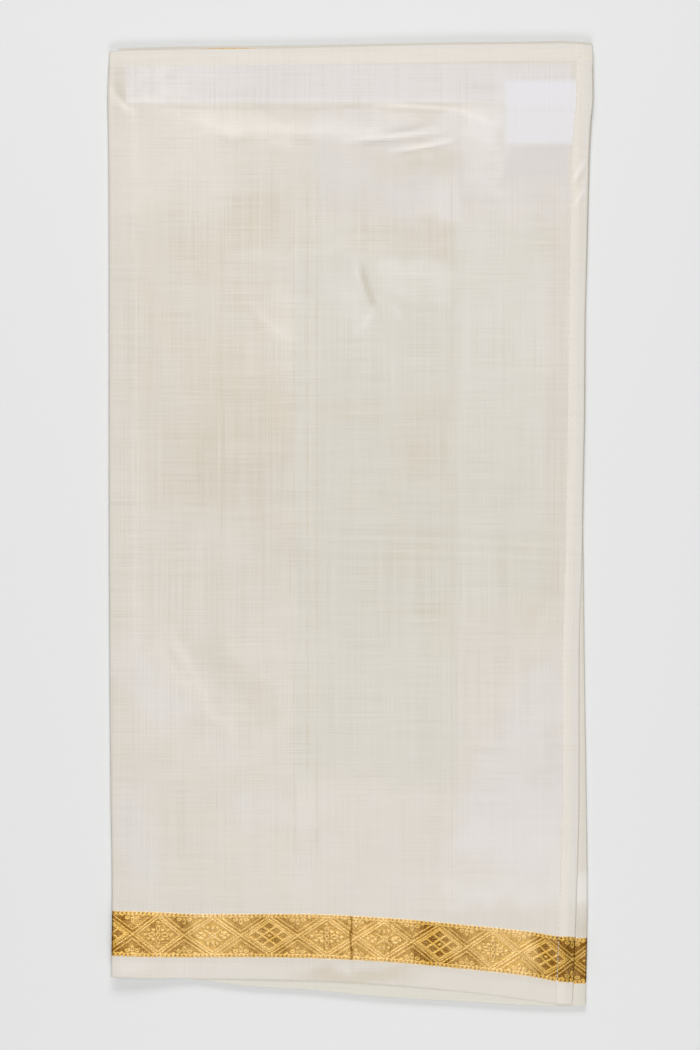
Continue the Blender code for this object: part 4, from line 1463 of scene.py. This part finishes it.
def thread_stitch():
    """The one stitch that is copied: a slim thread whose tapered ends dip into the cloth."""
    bpy.ops.mesh.primitive_cylinder_add(
        vertices=THREAD_SIDES, radius=THREAD_RADIUS * MM, depth=(STITCH - 2 * STITCH_END) * MM,
        rotation=(0.0, math.pi / 2, 0.0))
    piece = bpy.context.active_object
    piece.name = "thread_stitch"
    bpy.ops.object.transform_apply(location=False, rotation=True, scale=False)
    bpy.ops.object.mode_set(mode="EDIT")
    mesh = bmesh.from_edit_mesh(piece.data)
    for face in mesh.faces:
        face.select_set(abs(face.normal.x) > 0.9)
    bmesh.update_edit_mesh(piece.data)
    bpy.ops.mesh.inset(thickness=THREAD_RADIUS * THREAD_NARROWS * MM, depth=STITCH_END * MM,
                       use_individual=True)
    bpy.ops.transform.translate(value=(0.0, 0.0, -STITCH_DIP * MM))
    bpy.ops.object.mode_set(mode="OBJECT")
    bpy.ops.object.shade_smooth()
    piece.select_set(False)
    return piece


def sew(name, model, runs, material):
    """Copies of the stitch, each laid from one point to another in millimetres, as one piece."""
    bpy.ops.object.select_all(action="DESELECT")
    for start, end in runs:
        copy = model.copy()
        copy.data = model.data.copy()
        bpy.context.scene.collection.objects.link(copy)
        run = end - start
        length = np.linalg.norm(run)
        copy.location = (start + end) / 2 * MM
        copy.rotation_euler = (0.0, -math.asin(run[2] / length), math.atan2(run[1], run[0]))
        copy.scale = (length / STITCH, 1.0, 1.0)
        copy.select_set(True)
        bpy.context.view_layer.objects.active = copy
    bpy.ops.object.join()
    bpy.ops.object.transform_apply(location=True, rotation=True, scale=True)
    piece = bpy.context.active_object
    piece.name = piece.data.name = name
    return dress(piece, material, "silk_hem")


def on_panel(place, above):
    """A point above the front panel's outer face."""
    x, y = place
    return np.array([x, y, panel_top(np.array([x]), np.array([y]))[0] + above])


def over_panel(runs, above):
    """Stitches from and to places on the cloth, raised to its face."""
    return [(on_panel(start, above), on_panel(end, above)) for start, end in runs]


def end_seam(y):
    """The place of the end hem's seam at a height up the cloth."""
    return float(side("right")(np.array(y))) - END_HEM + SEAM_IN, y


def waist_seam(x):
    """The place of the waist hem's seam at a distance across the cloth."""
    return x, float(edge("waist_low")(np.array(x))) + SEAM_IN


def overcast(first, count, step):
    """Overcast stitches side by side, the first from and to two places, each a step further."""
    start, end = np.array(first)
    return [(start + k * step, end + k * step) for k in range(count)]


def make_sewing(material):
    """Running stitches down the end hem and along the waist hem, overcast stitches that close the
    corner between them, and a knot where the end hem's seam leaves the gold band."""
    model = thread_stitch()
    pace = STITCH + STITCH_GAP
    down = [(end_seam(y), end_seam(y - STITCH))
            for y in np.arange(END_SEAM_FIRST, END_SEAM_LAST, -pace)]
    along = [(waist_seam(x), waist_seam(x + STITCH))
             for x in np.arange(WAIST_SEAM_FIRST, WAIST_SEAM_LAST, pace)]
    knot_x, knot_y = end_seam(KNOT_Y)
    knot = [((knot_x + x0, knot_y + y0), (knot_x + x1, knot_y + y1)) for x0, y0, x1, y1 in KNOT]
    corner = overcast(CORNER_DOWN, CORNER_DOWN_COUNT, np.array([0.0, -CORNER_GAP]))
    corner += overcast(CORNER_ALONG, CORNER_ALONG_COUNT, np.array([CORNER_GAP, 0.0]))
    down = over_panel(down, END_SEAM_ABOVE) + over_panel(knot, KNOT_ABOVE)
    pieces = [sew("end_hem_stitches", model, down, material),
              sew("waist_hem_stitches", model, over_panel(along, WAIST_SEAM_ABOVE), material),
              sew("corner_stitches", model, over_panel(corner, END_SEAM_ABOVE), material)]
    bpy.data.objects.remove(model)
    return pieces


# ---- the tape and the label ------------------------------------------------------------------

def flat_piece(name, low, high, grid):
    """A grid over a rectangle given by its corners in millimetres, and where its points lie."""
    columns, rows = grid
    piece, column, row = grid_piece(name, columns, rows)
    x = low[0] + (high[0] - low[0]) * column / (columns - 1)
    y = low[1] + (high[1] - low[1]) * row / (rows - 1)
    return piece, x, y


def make_tape(material):
    """The flat fastening tape between the front panel and the layers under it."""
    piece, x, y = flat_piece("fastening_tape", TAPE_LOW, TAPE_HIGH, TAPE_GRID)
    place_points(piece, x, y, np.full_like(x, TAPE_HIGH[2] - TAPE_DEEP))
    thicken(piece, TAPE_WALL)
    return dress(piece, material, "tape", "waist_tape")


def make_label(material):
    """The bare label, whose upper part lies over the tape."""
    piece, x, y = flat_piece("bare_label", LABEL_LOW, LABEL_HIGH, LABEL_GRID)
    climbed = near(TAPE_LOW[1] - y - CLEAR, RAMP)
    place_points(piece, x, y, STACK_TOP + LABEL_OVER_STACK + LABEL_OVER_TAPE * climbed)
    thicken(piece, LABEL_WALL)
    return dress(piece, material, "label", "label")


# ---- floor, light and camera -----------------------------------------------------------------

def make_stage():
    """The pale surface that the cloth lies on."""
    bpy.ops.mesh.primitive_plane_add(size=FLOOR_SIZE, location=(0.0, 0.0, 0.0))
    floor = bpy.context.active_object
    floor.name = "floor"
    material, tree = new_material("pale matt surface")
    shader = add_node(tree, "BsdfPrincipled", "BSDF", {
        "Base Color": linear(FLOOR_COLOUR), "Roughness": 0.9, "Specular IOR Level": 0.2})
    add_node(tree, "OutputMaterial", None, {"Surface": shader})
    floor.data.materials.append(material)
    floor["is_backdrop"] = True


def hang_softbox(box):
    """A rectangular lamp that faces the cloth's middle."""
    light = bpy.data.lights.new(box.name, "AREA")
    light.shape = "RECTANGLE"
    light.size, light.size_y = box.size
    light.energy = box.power
    lamp = bpy.data.objects.new(box.name, light)
    bpy.context.scene.collection.objects.link(lamp)
    lamp.location = box.place
    x, y, z = box.place
    lamp.rotation_euler = (math.atan2(math.hypot(x, y), z), 0.0, math.atan2(y, x) + math.pi / 2)
    lamp.visible_camera = False


def make_light_and_camera():
    """A pale room, three soft lamps, and a camera straight over the cloth."""
    scene = bpy.context.scene
    scene.view_settings.view_transform = "Standard"
    world = bpy.data.worlds.new("soft room")
    scene.world = world
    world.use_nodes = True
    background = world.node_tree.nodes["Background"]
    background.inputs["Color"].default_value = linear("#ffffff")
    background.inputs["Strength"].default_value = ROOM_LIGHT
    for box in SOFTBOXES:
        hang_softbox(box)
    camera_data = bpy.data.cameras.new("camera")
    camera_data.lens = LENS
    camera_data.sensor_width = SENSOR
    camera = bpy.data.objects.new("camera", camera_data)
    scene.collection.objects.link(camera)
    camera.location = (0.0, VIEW_Y * MM, VIEW_TALL * MM * LENS / SENSOR)
    scene.camera = camera


def main():
    field_silk = silk_material("sheer plain-woven silk", "#d9d2c8")
    hem_silk = silk_material("turned silk hem", "#dbd5cb")
    edge_silk = silk_material("silk selvedge", "#ded7ce")
    folded_edge = silk_material("folded silk selvedge", "#dbd6ca")
    under_silk = silk_material("folded silk", "#dbd4c8")
    thread = woven_material("sewing thread", "#f7f2ea", "#e9e2d6", spacing=0.4, roughness=0.6)
    zari = zari_material()
    tape = woven_material("white woven tape", "#f0eeec", "#dcd9d6", spacing=0.9, roughness=0.85)
    label = woven_material("white satin label", "#f1f1f3", "#e6e6ea", spacing=0.7, roughness=0.45)

    field = make_field(field_silk)
    on_field = [make_end_hem(hem_silk), make_waist_hem(hem_silk), make_zari(zari)]
    on_field.append(make_selvedge(edge_silk))
    layers, folded_band, folded_selvedge = make_layers(under_silk, folded_edge, zari)
    on_field += [make_glimpse(zari), make_tape(tape), make_label(label)]
    on_field += make_sewing(thread)
    make_stage()
    make_light_and_camera()


main()
boxes = {"cad": cad_box, "visual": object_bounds()}
boxes = {name: [list(map(float, corner)) for corner in box] for name, box in boxes.items()}
